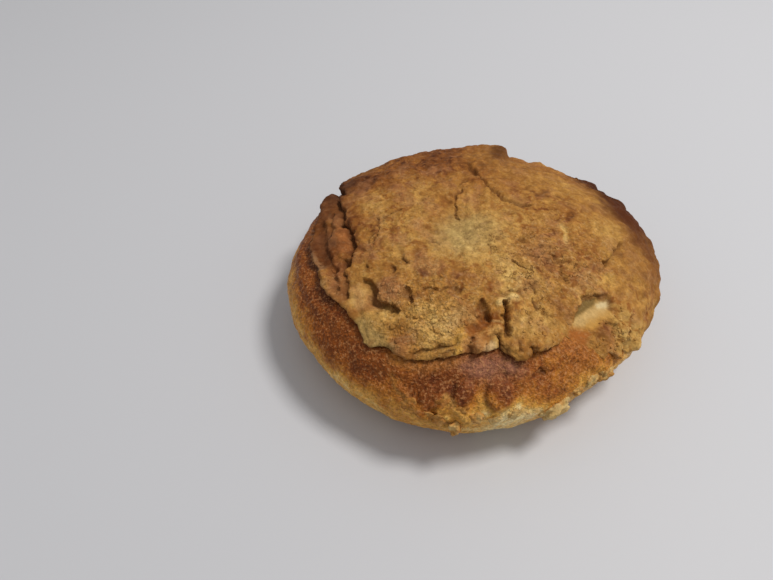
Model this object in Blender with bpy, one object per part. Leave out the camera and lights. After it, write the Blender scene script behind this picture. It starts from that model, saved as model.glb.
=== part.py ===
"""Soboro bun with a red bean filling: a round baked bun under one craggy slab of streusel.

Blender 4.5, metres, +Z up. The bun stands on z = 0, and the origin is under the middle of its
box. Uncut, it shows two separate pieces: the dough, with crumbs of streusel baked onto its
flank, and the streusel slab that lies over its crown and runs down its right side.

Places on the bun are given on its skin laid flat: x to the right and y to the back, in
millimetres along the surface from the top of the crown.
"""
from dataclasses import dataclass
from math import pi, radians

import bmesh
import bpy
import numpy as np
from mathutils import Matrix, Vector, noise

MM = 0.001

# Dough: its widest line, the waist, and the crown and foot above and below it
WAIST_RADIUS = 62.2 * MM
WAIST_HEIGHT = 17.0 * MM
WAIST_WAVES = ((2, 3.2 * MM, 57), (3, 1.0 * MM, 45), (4, 0.45 * MM, 0))   # lobes, swell, phase in degrees
CROWN_RISE = 18.5 * MM
CROWN_FULLNESS = 2.6          # 2 is an ellipse, more is fuller at the shoulder
TUCK_FULLNESS = 0.55
FOOT_LATITUDE = radians(140)  # below this the dough sits flat on its foot
TUCK_ROUNDNESS = 1.25
BUN_PLACE = Vector((-1.82, -0.15, 0.0)) * MM     # brings the middle of the box to the origin

# Streusel slab
SLAB_GAP = 0.65 * MM          # between the dough and the slab's underside
SLAB_ROUND = 1.5 * MM         # how far its rim is rounded over
UNDERCUT = 0.9 * MM           # how far its front left rim stands off the dough
UNDERCUT_REACH = 5.0 * MM
UNDERCUT_SIDE = (200, 262)    # bearings of that rim, in degrees

# Bearing in degrees, anticlockwise from the right, and distance from the top in mm
SLAB_EDGE = (
    (0, 75), (9, 77), (20, 74), (31, 75.5), (42, 72), (52, 74), (64, 71), (76, 70.5), (84, 68), (95, 70),
    (106, 67), (115, 69.5), (124, 66.5), (134, 67.5), (143, 65), (146, 58), (148, 60), (151, 63), (158, 58.5), (165, 55.5), (172, 54.5),
    (180, 54), (186, 53.3), (191, 52.5), (197, 51.8), (203, 51.6), (208, 51), (212, 50.3),
    (216, 49.6), (220, 49.8), (224, 50.6), (227, 52.3), (229, 53.4), (231, 53.3), (234.5, 51.7),
    (238.5, 51.6), (242.5, 51.9), (246, 51.5), (249, 50.5), (253.5, 49), (257.5, 47.2), (259, 43.5),
    (262, 41.6), (263, 44.5), (265, 46.8), (267.5, 47.3), (269.5, 45.4), (271.8, 43.6), (273, 46.5),
    (275, 49.2), (277.5, 50.3), (281, 50.6), (283, 49), (287.7, 49.2), (291.5, 49), (295.6, 48.5),
    (300, 47.6), (303, 48.5), (305, 56), (308, 61.5), (312, 63.5), (318, 65), (325, 70), (335, 76),
    (345, 77), (360, 75),
)
SLAB_CENTRE_THICKNESS = 4.0 * MM
# Bearing in degrees and thickness near the rim in mm
SLAB_THICKNESS = (
    (0, 1.8), (60, 1.8), (75, 1.9), (79, 5.2), (95, 5.0), (142, 4.6), (150, 4.2), (200, 3.6),
    (215, 3.8), (256, 3.6), (266, 3.2), (276, 3.8), (300, 3.4), (310, 2.4), (330, 2.0), (360, 1.8),
)

# Mesh sizes
DOUGH_SEGMENTS = 60
DOUGH_RINGS = ((0, 0), (5, 45), (18, 92), (22, 140))     # ring number and mm along the skin
SLAB_SEGMENTS = 104
SLAB_TOP_RINGS = 26
SLAB_RIM_RINGS = 4
SLAB_UNDER_RINGS = 15

BOTH_WAYS = np.linspace(0, pi, 721)


def mm(*points):
    """Points given in millimetres, in metres."""
    return np.array(points, dtype=float) * MM


@dataclass(frozen=True)
class Groove:
    """A crack or furrow along a path over the skin."""
    path: np.ndarray
    width: float
    depth: float


@dataclass(frozen=True)
class Terrace:
    """A part of the slab whose surface lies at a level of its own."""
    outline: np.ndarray
    level: float
    slope: float


@dataclass(frozen=True)
class Swelling:
    """A round rise on a surface, or a hollow where its height is negative."""
    place: np.ndarray
    radius: float
    height: float


TERRACES = (
    # the flap on the left, which has slid off the slab
    Terrace(mm((-47, 32), (-46, 20), (-44, 10), (-40.5, 2), (-39.2, -5), (-40, -12), (-41, -19), (-44, -26),
               (-62, -36), (-80, 0), (-66, 44)), 2.5 * MM, 1.6 * MM),
    # the lower crust on the right flank
    Terrace(mm((45, -3), (42, -9), (38.5, -14.5), (37, -18), (37.5, -22), (40, -26), (41.5, -33), (36, -37),
               (31.5, -42), (28, -52), (44, -72), (90, -50), (90, 6), (60, 6)), 1.7 * MM, 1.6 * MM),
    # the break where bare dough shows
    Terrace(mm((24, -42), (25.5, -38), (29, -34.5), (33, -31.5), (38, -28.5), (40.5, -29), (40, -33), (36, -36),
               (32, -40), (31, -46), (27, -46)), 0.8 * MM, 1.8 * MM),
)
GROOVES = (
    # the gap between the flap and the slab
    Groove(mm((-47, 34), (-45.5, 20), (-44, 12), (-42, 5), (-40, 1), (-39, -5), (-39.7, -12), (-40.5, -18)),
           1.5 * MM, 1.8 * MM),
    # the bent furrow of the front left corner
    Groove(mm((-35, -19.5), (-33, -22), (-32.4, -27), (-30, -30), (-25.5, -31)), 1.5 * MM, 2.2 * MM),
    Groove(mm((-23, -25.5), (-22, -29.5)), 1.2 * MM, 1.5 * MM),
    # the furrows over the middle of the front rim
    Groove(mm((-1.5, -31.5), (-1.5, -37.5)), 1.3 * MM, 1.6 * MM),
    Groove(mm((5, -32.5), (5, -38), (4.5, -41.5)), 1.4 * MM, 2.2 * MM),
    Groove(mm((3, -29), (10, -28.4), (17, -28.6)), 1.8 * MM, 0.9 * MM),
    # the crack round the plate at the back
    Groove(mm((2, 36), (3, 27), (5.5, 22), (9.5, 15), (12, 12), (16, 10.5)), 1.2 * MM, 0.8 * MM),
    Groove(mm((45, -3.5), (42.5, -8), (39, -14)), 1.4 * MM, 1.0 * MM),
)
SLAB_SWELLINGS = (
    Swelling(mm(-52, 24), 8.0 * MM, 2.3 * MM),
    Swelling(mm(-45, -14), 6.0 * MM, 0.9 * MM),
    Swelling(mm(-36, -37), 4.0 * MM, 0.5 * MM),
    Swelling(mm(-2, -39), 4.5 * MM, -1.6 * MM),
    Swelling(mm(-3, -44.5), 2.6 * MM, 1.6 * MM),
    Swelling(mm(9, -44), 6.0 * MM, 0.9 * MM),
    Swelling(mm(-5, 2), 9.0 * MM, -0.8 * MM),
    Swelling(mm(-22, -24), 6.0 * MM, 0.5 * MM),
    # the lip that stands up at the back, and the knobs along the back right rim
    Swelling(mm(7, 58), 7.0 * MM, 1.8 * MM),
    Swelling(mm(22, 56), 2.6 * MM, 1.4 * MM),
    Swelling(mm(29, 54), 3.0 * MM, 2.0 * MM),
    Swelling(mm(40, 46), 3.2 * MM, 1.4 * MM),
    Swelling(mm(48, 38), 3.4 * MM, 1.6 * MM),
    Swelling(mm(54, 28), 3.6 * MM, 1.2 * MM),
    # the rough lower right corner
    Swelling(mm(46, -38), 4.0 * MM, 1.0 * MM),
    Swelling(mm(54, -36), 4.0 * MM, 1.6 * MM),
    Swelling(mm(40, -43), 4.0 * MM, 0.9 * MM),
    Swelling(mm(50, -50), 5.0 * MM, 1.4 * MM),
)
DOUGH_SWELLINGS = (
    Swelling(mm(2, -57.5), 3.4 * MM, 1.1 * MM),
    Swelling(mm(-7, -57), 3.0 * MM, 0.9 * MM),
    Swelling(mm(-20, -60), 4.0 * MM, 0.9 * MM),
    Swelling(mm(10, -57), 3.0 * MM, 0.5 * MM),
    Swelling(mm(-49, -47), 3.0 * MM, -0.6 * MM),
)
WAVINESS = 0.5 * MM           # how uneven both surfaces are
WAVE_LENGTH = 14 * MM
RELIEF_START = 4 * MM         # how far past the slab's rim the dough's relief begins
RELIEF_END = 88 * MM          # from the top along the skin, where the foot takes over
RELIEF_EASE = 5 * MM

# Crumbs baked onto the flank: place on the skin in mm, then length, width and height in mm
CRUMBS = (
    (-25, -59, 5.0, 4.0, 2.6), (-21, -63.5, 5.5, 4.0, 3.0), (-16.5, -65.5, 5.0, 4.4, 3.4),
    (-11.5, -68, 4.2, 4.4, 4.6), (-15, -60, 5.6, 4.2, 2.6), (-9.5, -63, 4.6, 3.6, 2.6),
    (-5, -66, 4.4, 3.4, 2.2), (1, -67.5, 3.6, 3.0, 1.8), (7, -66.5, 3.4, 3.0, 1.6),
    (23, -66.5, 10.0, 6.0, 4.4), (36, -56, 4.6, 3.6, 2.4), (42, -52.5, 6.0, 4.6, 3.6),
    (31, -60, 3.6, 3.0, 2.0), (-52, 60, 4.0, 3.2, 2.2), (-72, 16, 4.4, 3.4, 2.4), (8, 79, 4.6, 3.6, 2.6),
)
CRUMB_SINK = 0.3              # share of a crumb's height that is inside the dough
CRUMB_CREASE = radians(35)

DOUGH_COLOUR = (0.36, 0.15, 0.045, 1)
STREUSEL_COLOUR = (0.47, 0.27, 0.085, 1)


def waist_radius(bearing):
    """Radius of the widest line at a bearing."""
    waves = (swell * np.cos(lobes * bearing - radians(phase)) for lobes, swell, phase in WAIST_WAVES)
    return WAIST_RADIUS + sum(waves)


def skin_point(bearing, latitude, lift):
    """Point over the dough's skin. Latitude is 0 at the top, a quarter turn at the waist, half below."""
    above = latitude <= pi / 2
    below = np.clip(latitude - pi / 2, 0, pi / 2)
    crown_spread = np.abs(np.sin(latitude)) ** (2 / CROWN_FULLNESS)
    spread = np.where(above, crown_spread, np.cos(below) ** TUCK_FULLNESS)
    reach = (waist_radius(bearing) + lift) * spread
    tuck = np.minimum(1, np.sin(below) / np.sin(FOOT_LATITUDE - pi / 2))
    crown_height = WAIST_HEIGHT + (CROWN_RISE + lift) * np.cos(latitude)
    height = np.where(above, crown_height, WAIST_HEIGHT * (1 - tuck) ** TUCK_ROUNDNESS)
    return np.stack([reach * np.cos(bearing), reach * np.sin(bearing), height], axis=-1)


def meridian_lengths():
    """Distance along the skin from the top to each of the latitudes in BOTH_WAYS."""
    spread = np.where(BOTH_WAYS <= pi / 2, np.abs(np.sin(BOTH_WAYS)) ** (2 / CROWN_FULLNESS),
                      np.cos(np.clip(BOTH_WAYS - pi / 2, 0, pi / 2)) ** TUCK_FULLNESS)
    height = skin_point(np.zeros_like(BOTH_WAYS), BOTH_WAYS, 0.0)[:, 2]
    steps = np.hypot(np.diff(WAIST_RADIUS * spread), np.diff(height))
    return np.concatenate([[0.0], np.cumsum(steps)])


LENGTHS = meridian_lengths()


def latitude_at(distance):
    """Latitude that lies a distance from the top along the skin."""
    return np.interp(distance, LENGTHS, BOTH_WAYS)


def laid_flat(bearing, distance):
    """Place on the skin laid flat."""
    return np.stack([distance * np.cos(bearing), distance * np.sin(bearing)], axis=-1)


def round_the_bun(table, bearing):
    """Value of a table of bearings in degrees and millimetres, in metres."""
    degrees, values = np.array(table, dtype=float).T
    return np.interp(np.degrees(bearing) % 360, degrees, values * MM, period=360)


def smooth_step(value):
    """Ease from 0 to 1 as the value goes from 0 to 1."""
    value = np.clip(value, 0, 1)
    return value * value * (3 - 2 * value)


def distance_to_path(places, path):
    """Shortest distance from each place to the legs of a path."""
    nearest = np.full(len(places), np.inf)
    for start, end in zip(path[:-1], path[1:]):
        leg = end - start
        along = np.clip((places - start) @ leg / (leg @ leg), 0, 1)
        nearest = np.minimum(nearest, np.linalg.norm(places - start - along[:, None] * leg, axis=1))
    return nearest


def depth_inside(places, outline):
    """How far each place lies inside a closed outline; negative outside."""
    ring = np.vstack([outline, outline[:1]])
    inside = np.zeros(len(places), dtype=bool)
    for (x0, y0), (x1, y1) in zip(ring[:-1], ring[1:]):
        crosses = (y0 > places[:, 1]) != (y1 > places[:, 1])
        meets = x0 + (places[:, 1] - y0) * (x1 - x0) / (y1 - y0 if y1 != y0 else 1)
        inside ^= crosses & (places[:, 0] < meets)
    return np.where(inside, 1, -1) * distance_to_path(places, ring)


def rise(places, swellings):
    """Height that the swellings add at each place."""
    total = np.zeros(len(places))
    for swelling in swellings:
        away = np.linalg.norm(places - swelling.place, axis=1) / swelling.radius
        total += swelling.height * np.exp(-away ** 4)
    return total


def waviness(places, layer):
    """Slow unevenness of a surface; each layer has its own."""
    waves = [noise.noise(Vector((x / WAVE_LENGTH, y / WAVE_LENGTH, layer))) for x, y in places]
    return WAVINESS * np.array(waves)


def slab_lift(bearing, distance, edge):
    """Height of the slab's top over the dough's skin."""
    places = laid_flat(bearing, distance)
    near_rim = smooth_step(distance / edge * 1.6 - 0.5)
    lift = SLAB_CENTRE_THICKNESS + (round_the_bun(SLAB_THICKNESS, bearing) - SLAB_CENTRE_THICKNESS) * near_rim
    for terrace in TERRACES:
        share = smooth_step(depth_inside(places, terrace.outline) / terrace.slope + 0.5)
        lift += (terrace.level - lift) * share
    lift += rise(places, SLAB_SWELLINGS) + waviness(places, 0)
    for groove in GROOVES:
        lift -= groove.depth * np.exp(-(distance_to_path(places, groove.path) / groove.width) ** 2)
    return np.maximum(lift, SLAB_GAP + 0.5 * MM)


def dough_lift(bearing, distance, edge):
    """Relief of the dough's own skin, which fades out under the slab and on the foot."""
    places = laid_flat(bearing, distance)
    bare = smooth_step((distance - edge - RELIEF_START) / RELIEF_EASE)
    off_foot = smooth_step((RELIEF_END - distance) / RELIEF_EASE)
    return (rise(places, DOUGH_SWELLINGS) + waviness(places, 7)) * bare * off_foot


def unit_sphere(segments, rings):
    """A sphere to mould, with the bearing and the ring number of each of its points."""
    form = bmesh.new()
    bmesh.ops.create_uvsphere(form, u_segments=segments, v_segments=rings, radius=1)
    points = np.array([vert.co for vert in form.verts])
    bearing = np.arctan2(points[:, 1], points[:, 0])
    ring = np.arccos(np.clip(points[:, 2], -1, 1)) / pi * rings
    return form, bearing, ring


def mould(form, points):
    """Move the points of a sphere to their places."""
    for vert, point in zip(form.verts, points):
        vert.co = Vector(point) + BUN_PLACE


def finished(name, form, colour, roughness):
    """Make an object of a form, smooth and with a material of its own."""
    mesh = bpy.data.meshes.new(name)
    form.to_mesh(mesh)
    form.free()
    mesh.shade_smooth()
    material = bpy.data.materials.new(name)
    material.use_nodes = True
    shader = material.node_tree.nodes["Principled BSDF"]
    shader.inputs["Base Color"].default_value = colour
    shader.inputs["Roughness"].default_value = roughness
    shader.inputs["Metallic"].default_value = 0.0
    mesh.materials.append(material)
    return bpy.data.objects.new(name, mesh)


def make_dough():
    """The bun's dough on its flat foot."""
    numbers, distances = zip(*DOUGH_RINGS)
    form, bearing, ring = unit_sphere(DOUGH_SEGMENTS, numbers[-1])
    ends = np.array(distances, dtype=float) * MM
    ends[-1] = LENGTHS[-1]
    distance = np.interp(ring, numbers, ends)
    lift = dough_lift(bearing, distance, round_the_bun(SLAB_EDGE, bearing))
    mould(form, skin_point(bearing, latitude_at(distance), lift))
    return finished("bun_body", form, DOUGH_COLOUR, 0.6)


def make_slab():
    """The streusel slab: its top, its rounded rim and an underside that follows the dough."""
    rings = SLAB_TOP_RINGS + SLAB_RIM_RINGS + SLAB_UNDER_RINGS
    form, bearing, ring = unit_sphere(SLAB_SEGMENTS, rings)
    edge = round_the_bun(SLAB_EDGE, bearing)
    inner = edge - SLAB_ROUND
    top_share = np.clip(ring / SLAB_TOP_RINGS, 0, 1)
    rim_turn = np.clip((ring - SLAB_TOP_RINGS) / SLAB_RIM_RINGS, 0, 1) * pi
    under_share = np.clip((rings - ring) / SLAB_UNDER_RINGS, 0, 1)
    distance = np.minimum(top_share, under_share) * inner + SLAB_ROUND * np.sin(rim_turn)
    start, end = UNDERCUT_SIDE
    degrees = np.degrees(bearing) % 360
    overhung = smooth_step((degrees - start) / 8) * smooth_step((end - degrees) / 4)
    to_rim = smooth_step(1 - (edge - distance) / UNDERCUT_REACH)
    under = SLAB_GAP + UNDERCUT * overhung * to_rim
    top = slab_lift(bearing, np.minimum(distance, inner), edge)
    upper_share = (1 + np.cos(rim_turn)) / 2
    lift = under + (top - under) * upper_share
    mould(form, skin_point(bearing, latitude_at(distance), lift))
    return finished("streusel_crust", form, STREUSEL_COLOUR, 0.85)


def make_crumb(index, x, y, length, width, height):
    """One crumb, lying on the dough's skin with its foot sunk in."""
    form = bmesh.new()
    bmesh.ops.create_icosphere(form, subdivisions=2, radius=0.5)
    for vert in form.verts:
        vert.co *= 1 + 0.35 * noise.noise(vert.co * 3 + Vector((index, 0, 0)))
    bearing, distance = np.arctan2(y, x), np.hypot(x, y) * MM
    base = Vector(skin_point(bearing, latitude_at(distance), 0.0))
    east = Vector(skin_point(bearing + 0.01, latitude_at(distance), 0.0)) - base
    down = Vector(skin_point(bearing, latitude_at(distance + 0.5 * MM), 0.0)) - base
    outward = down.cross(east).normalized()
    turn = Matrix((east.normalized(), outward.cross(east).normalized(), outward)).transposed().to_4x4()
    size = Matrix.Diagonal((length * MM, width * MM, height * MM, 1))
    centre = base + outward * height * (0.5 - CRUMB_SINK) * MM + BUN_PLACE
    form.transform(Matrix.Translation(centre) @ turn @ size)
    return finished(f"crumb_{index}", form, STREUSEL_COLOUR, 0.85)


def bake_on(dough, crumbs, scene):
    """Join the crumbs to the dough in one closed body."""
    loose = bpy.data.collections.new("crumbs")
    scene.collection.children.link(loose)
    for crumb in crumbs:
        loose.objects.link(crumb)
    union = dough.modifiers.new("baked_on", "BOOLEAN")
    union.operation = "UNION"
    union.operand_type = "COLLECTION"
    union.collection = loose
    union.solver = "EXACT"
    union.use_self = True
    joined = bpy.data.meshes.new_from_object(dough.evaluated_get(bpy.context.evaluated_depsgraph_get()))
    joined.set_sharp_from_angle(angle=CRUMB_CREASE)
    dough.modifiers.clear()
    dough.data = joined
    for crumb in crumbs:
        bpy.data.objects.remove(crumb)
    bpy.data.collections.remove(loose)


def main():
    for leftover in list(bpy.data.objects):
        bpy.data.objects.remove(leftover)
    scene = bpy.context.scene
    bun = bpy.data.collections.new("red_bean_bun")
    scene.collection.children.link(bun)
    dough = make_dough()
    slab = make_slab()
    bun.objects.link(dough)
    bun.objects.link(slab)
    crumbs = [make_crumb(index, *crumb) for index, crumb in enumerate(CRUMBS)]
    bake_on(dough, crumbs, scene)


main()
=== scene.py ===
"""Dressed model of a soboro bun with a red bean filling.

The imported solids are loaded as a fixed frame. The bare dough, the streusel slab over its crown and
the crumbs that are baked onto its flank are then modelled again at full detail in their places.

Places on the bun are given on its skin laid flat: x to the right and y to the back, measured along
the surface from the top of the crown. The tables of places, and the sizes of what is drawn on the
skin, are in millimetres. Bearings are in degrees, anticlockwise from the right.
"""
from __future__ import annotations

import logging
from dataclasses import dataclass
from enum import Enum
from math import pi, radians

import bmesh
import bpy
import numpy as np
from mathutils import Matrix, Vector, noise

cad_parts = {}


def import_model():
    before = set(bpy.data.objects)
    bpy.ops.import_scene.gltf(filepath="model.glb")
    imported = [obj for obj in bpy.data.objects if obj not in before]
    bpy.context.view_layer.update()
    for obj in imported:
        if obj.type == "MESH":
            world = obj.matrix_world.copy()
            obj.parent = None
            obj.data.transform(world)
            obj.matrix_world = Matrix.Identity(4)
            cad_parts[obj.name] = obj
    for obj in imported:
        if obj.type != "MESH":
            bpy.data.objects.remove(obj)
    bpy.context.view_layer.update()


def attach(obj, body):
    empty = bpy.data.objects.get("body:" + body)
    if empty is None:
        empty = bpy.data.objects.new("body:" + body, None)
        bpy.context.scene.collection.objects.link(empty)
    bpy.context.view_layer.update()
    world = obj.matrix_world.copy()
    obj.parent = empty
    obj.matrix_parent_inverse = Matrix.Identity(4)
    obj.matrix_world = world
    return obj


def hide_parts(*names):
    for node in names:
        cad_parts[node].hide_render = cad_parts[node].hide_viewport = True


MM = 0.001
SEAM = 1e-5               # points of a unit sphere that lie closer than this are one
LOG = logging.getLogger("bun")
Array = np.ndarray
Table = tuple[tuple[float, float], ...]
Path = tuple[tuple[float, float], ...]


class Seed(Enum):
    """Where each kind of unevenness is read in the noise, so that none repeats another."""
    WAVES = 0.0
    EDGE = 11.3
    WARP_X = 23.7
    WARP_Y = 31.1
    HEAPS = 47.9
    GRIT = 59.3
    STAIN = 71.7
    FLECK = 83.1
    MOUNDS = 97.3
    TORN = 113.9
    FRECKLE = 131.7


# ---------------------------------------------------------------- measures and noise

def mm(*points: tuple[float, float]) -> Array:
    """Points given in millimetres, in metres."""
    return np.array(points, dtype=float) * MM


def smooth_step(value: Array) -> Array:
    """Ease from 0 to 1 as the value goes from 0 to 1."""
    value = np.clip(value, 0, 1)
    return value * value * (3 - 2 * value)


def ramp(value: Array, start: Array | float, end: Array | float) -> Array:
    """Ease from 0 to 1 as the value goes from start to end."""
    return smooth_step((value - start) / (end - start))


def round_the_bun(table: Table, bearing: Array) -> Array:
    """Value at each bearing of a table.

    Args:
        table: bearings in degrees with a value each.
        bearing: bearings in radians.

    Returns:
        The values, straight between those of the table.
    """
    degrees, values = np.array(table, dtype=float).T
    return np.interp(np.degrees(bearing) % 360, degrees, values, period=360)


def laid_flat(bearing: Array, distance: Array) -> Array:
    """Place on the skin laid flat."""
    return np.stack([distance * np.cos(bearing), distance * np.sin(bearing)], axis=-1)


def distance_to_path(places: Array, path: Array) -> Array:
    """Measure how far places lie from a path.

    Args:
        places: flat places.
        path: points of the path, or its one point.

    Returns:
        The shortest distance from each place.
    """
    nearest = np.linalg.norm(places - path[0], axis=1)
    for start, end in zip(path[:-1], path[1:]):
        leg = end - start
        along = np.clip((places - start) @ leg / (leg @ leg), 0, 1)
        nearest = np.minimum(nearest, np.linalg.norm(places - start - along[:, None] * leg, axis=1))
    return nearest


def depth_inside(places: Array, outline: Array) -> Array:
    """Measure how far places lie inside a closed outline.

    Args:
        places: flat places.
        outline: its corners in order.

    Returns:
        The distance of each place from the outline, which is negative outside.
    """
    ring = np.vstack([outline, outline[:1]])
    inside = np.zeros(len(places), dtype=bool)
    for (x0, y0), (x1, y1) in zip(ring[:-1], ring[1:]):
        crosses = (y0 > places[:, 1]) != (y1 > places[:, 1])
        meets = x0 + (places[:, 1] - y0) * (x1 - x0) / (y1 - y0 if y1 != y0 else 1)
        inside ^= crosses & (places[:, 0] < meets)
    return np.where(inside, 1, -1) * distance_to_path(places, ring)


def in_noise(points: Array, size: float, seed: Seed) -> list[list[float]]:
    """Find where points lie in the noise.

    Args:
        points: flat places or points in space.
        size: width of one unit of the noise.
        seed: which noise.

    Returns:
        A spot in the noise for each point.
    """
    spots = np.zeros((len(points), 3))
    spots[:, :points.shape[1]] = points / size
    return (spots + seed.value).tolist()


@dataclass(frozen=True)
class Clouds:
    """Cloudy noise, mostly between its strength and less that."""
    strength: float
    size: float               # width of the largest clouds
    seed: Seed
    octaves: int = 3          # how many ever finer layers it has
    fineness: float = 2.0     # how much finer each layer is
    fading: float = 1.0       # how fast they get weaker
    gain: float = 1.5         # brings the bare noise to about 1

    def over(self, points: Array) -> Array:
        """Read the noise.

        Args:
            points: flat places or points in space.

        Returns:
            Its value at each.
        """
        spots = in_noise(points, self.size, self.seed)
        values = [noise.fractal(spot, self.fading, self.fineness, self.octaves) for spot in spots]
        return self.strength * (np.array(values) * self.gain)


@dataclass(frozen=True)
class Heap:
    """Soft round crumbs of uneven girth, fused in a heap of larger and smaller ones."""
    large: float              # width of the crumbs
    small: float
    large_share: float
    girths: tuple[float, float] = (0.45, 0.95)
    hash_lattice: tuple[float, float, float] = (12.7, 31.2, 7.5)      # gives each crumb a girth of its own
    hash_scale: float = 437.6

    def crumbs(self, points: Array, size: float, seed: Seed) -> Array:
        """Heap up crumbs of one size.

        Args:
            points: points in space.
            size: width of the crumbs.
            seed: which noise.

        Returns:
            The heap's height at each point: 0 between crumbs, up to 1 on the thickest.
        """
        cells = [noise.voronoi(spot) for spot in in_noise(points, size, seed)]
        away = np.array([cell[0] for cell in cells])
        sites = np.array([[site[:] for site in cell[1]] for cell in cells])
        draw = np.abs(np.sin(np.floor(sites) @ self.hash_lattice) * self.hash_scale) % 1
        thinnest, thickest = self.girths
        girth = thinnest + (thickest - thinnest) * draw
        return np.maximum(girth - away ** 2 / girth, 0).max(axis=1)

    def layers(self, points: Array) -> tuple[Array, Array, Array]:
        """Heap up both sizes.

        Args:
            points: points in space.

        Returns:
            The height of the large crumbs, of the small ones and of both together at each point.
        """
        large = self.crumbs(points, self.large, Seed.HEAPS)
        small = self.crumbs(points, self.small, Seed.GRIT)
        return large, small, self.large_share * large + (1 - self.large_share) * small


@dataclass(frozen=True)
class Tearing:
    """Pushes flat places about, so that what is drawn on them gets a torn, natural line."""
    reach: float
    size: float

    def of(self, places: Array) -> Array:
        """The places as pushed about."""
        shift = [Clouds(1, self.size, seed, 4).over(places) for seed in (Seed.WARP_X, Seed.WARP_Y)]
        return places + self.reach * np.stack(shift, axis=-1)


# ---------------------------------------------------------------- form

@dataclass(frozen=True)
class Skin:
    """The dough's outer form, which everything else lies on.

    Latitude is 0 at the top, a quarter turn at the waist and half a turn underneath.
    """
    waist_radius: float = 62.2 * MM
    waist_height: float = 17.0 * MM
    waist_waves: tuple[tuple[int, float, float], ...] = (      # lobes, swell and phase in degrees
        (2, 3.2 * MM, 57), (3, 1.0 * MM, 45), (4, 0.45 * MM, 0))
    crown_rise: float = 18.5 * MM
    crown_fullness: float = 2.6
    tuck_fullness: float = 0.55
    tuck_roundness: float = 1.25
    foot_latitude: float = radians(140)
    place: tuple[float, float, float] = (-1.82 * MM, -0.15 * MM, 0.0)

    def radius(self, bearing: Array) -> Array:
        """Radius of the widest line at a bearing."""
        return self.waist_radius + sum(swell * np.cos(lobes * bearing - radians(phase))
                                       for lobes, swell, phase in self.waist_waves)

    def spread(self, latitude: Array) -> Array:
        """Find how far the form reaches out.

        Args:
            latitude: latitudes in radians.

        Returns:
            Share of the widest radius at each.
        """
        below = np.clip(latitude - pi / 2, 0, pi / 2)
        crown = np.abs(np.sin(latitude)) ** (2 / self.crown_fullness)
        return np.where(latitude <= pi / 2, crown, np.cos(below) ** self.tuck_fullness)

    def height(self, latitude: Array, lift: Array) -> Array:
        """Find how high the form stands.

        Args:
            latitude: latitudes in radians.
            lift: height of the surface over the skin at each.

        Returns:
            Height over the table at each.
        """
        below = np.clip(latitude - pi / 2, 0, pi / 2)
        tuck = np.minimum(1, np.sin(below) / np.sin(self.foot_latitude - pi / 2))
        crown = self.waist_height + (self.crown_rise + lift) * np.cos(latitude)
        return np.where(latitude <= pi / 2, crown, self.waist_height * (1 - tuck) ** self.tuck_roundness)

    def meridian(self) -> tuple[Array, Array]:
        """Measure the skin from its top to its bottom.

        Returns:
            Distances from the top along the skin, and the latitudes at those distances.
        """
        latitude = np.linspace(0, pi, 721)
        across = self.waist_radius * self.spread(latitude)
        steps = np.hypot(np.diff(across), np.diff(self.height(latitude, np.zeros_like(latitude))))
        return np.concatenate([[0.0], np.cumsum(steps)]), latitude

    def point(self, bearing: Array, distance: Array, lift: Array) -> Array:
        """Find points over the skin.

        Args:
            bearing: bearings in radians.
            distance: how far from the top along the skin.
            lift: how far above it.

        Returns:
            A point in space for each.
        """
        latitude = np.interp(distance, *self.meridian())
        reach = (self.radius(bearing) + lift) * self.spread(latitude)
        height = self.height(latitude, lift)
        return np.stack([reach * np.cos(bearing), reach * np.sin(bearing), height], axis=-1) + self.place


@dataclass(frozen=True)
class Groove:
    """A crack or furrow along a path over the skin, or with less than no depth a ridge; in millimetres."""
    path: Path
    width: float
    depth: float
    # share of painted shade that darkens its hollow; in a streak, how much more it is browned, paler below 0
    dark: float = 0.6
    flatness: float = 2.0

    def share(self, places: Array, girth: Array) -> Array:
        """1 on the path, falling to 0 within its width, which a girth of more than 1 widens."""
        away = distance_to_path(places, mm(*self.path)) / (self.width * MM * girth)
        return np.exp(-away ** self.flatness)


@dataclass(frozen=True)
class Terrace:
    """A part of the slab whose surface lies at a level of its own; in millimetres."""
    outline: Path
    level: float
    slope: float

    def share(self, places: Array) -> Array:
        """1 on the terrace and 0 off it."""
        return smooth_step(depth_inside(places, mm(*self.outline)) / (self.slope * MM) + 0.5)


@dataclass(frozen=True)
class Blot:
    """A round area: of height on a surface, of browning on a colour, or of another trait; in millimetres."""
    x: float
    y: float
    radius: float
    amount: float
    steepness: float = 3.0

    def share(self, places: Array) -> Array:
        """1 at its centre, falling to 0 past its radius."""
        away = np.linalg.norm(places - mm((self.x, self.y)), axis=1) / (self.radius * MM)
        return np.exp(-away ** self.steepness)


@dataclass(frozen=True)
class Tint:
    """A colour laid over the baked one, round a point or along a path; in millimetres."""
    path: Path
    reach: float
    code: str
    strength: float

    def share(self, places: Array) -> Array:
        """How much of the colour shows at each place."""
        away = distance_to_path(places, mm(*self.path)) / (self.reach * MM)
        return self.strength * np.exp(-away ** 3)


def sum_of(blots: tuple[Blot, ...], places: Array) -> Array:
    """What the blots add up to at each place."""
    return sum((blot.amount * blot.share(places) for blot in blots), np.zeros(len(places)))


# ---------------------------------------------------------------- finishes

def linear_colour(code: str) -> Array:
    """Linear values of an sRGB hex colour."""
    parts = np.array([int(code[start:start + 2], 16) for start in (1, 3, 5)]) / 255
    return np.where(parts <= 0.04045, parts / 12.92, ((parts + 0.055) / 1.055) ** 2.4)


def mixed(colours: Array, code: str, share: Array) -> Array:
    """Colours with a share of another laid over them."""
    return colours + (linear_colour(code) - colours) * np.clip(share, 0, 1)[:, None]


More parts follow.
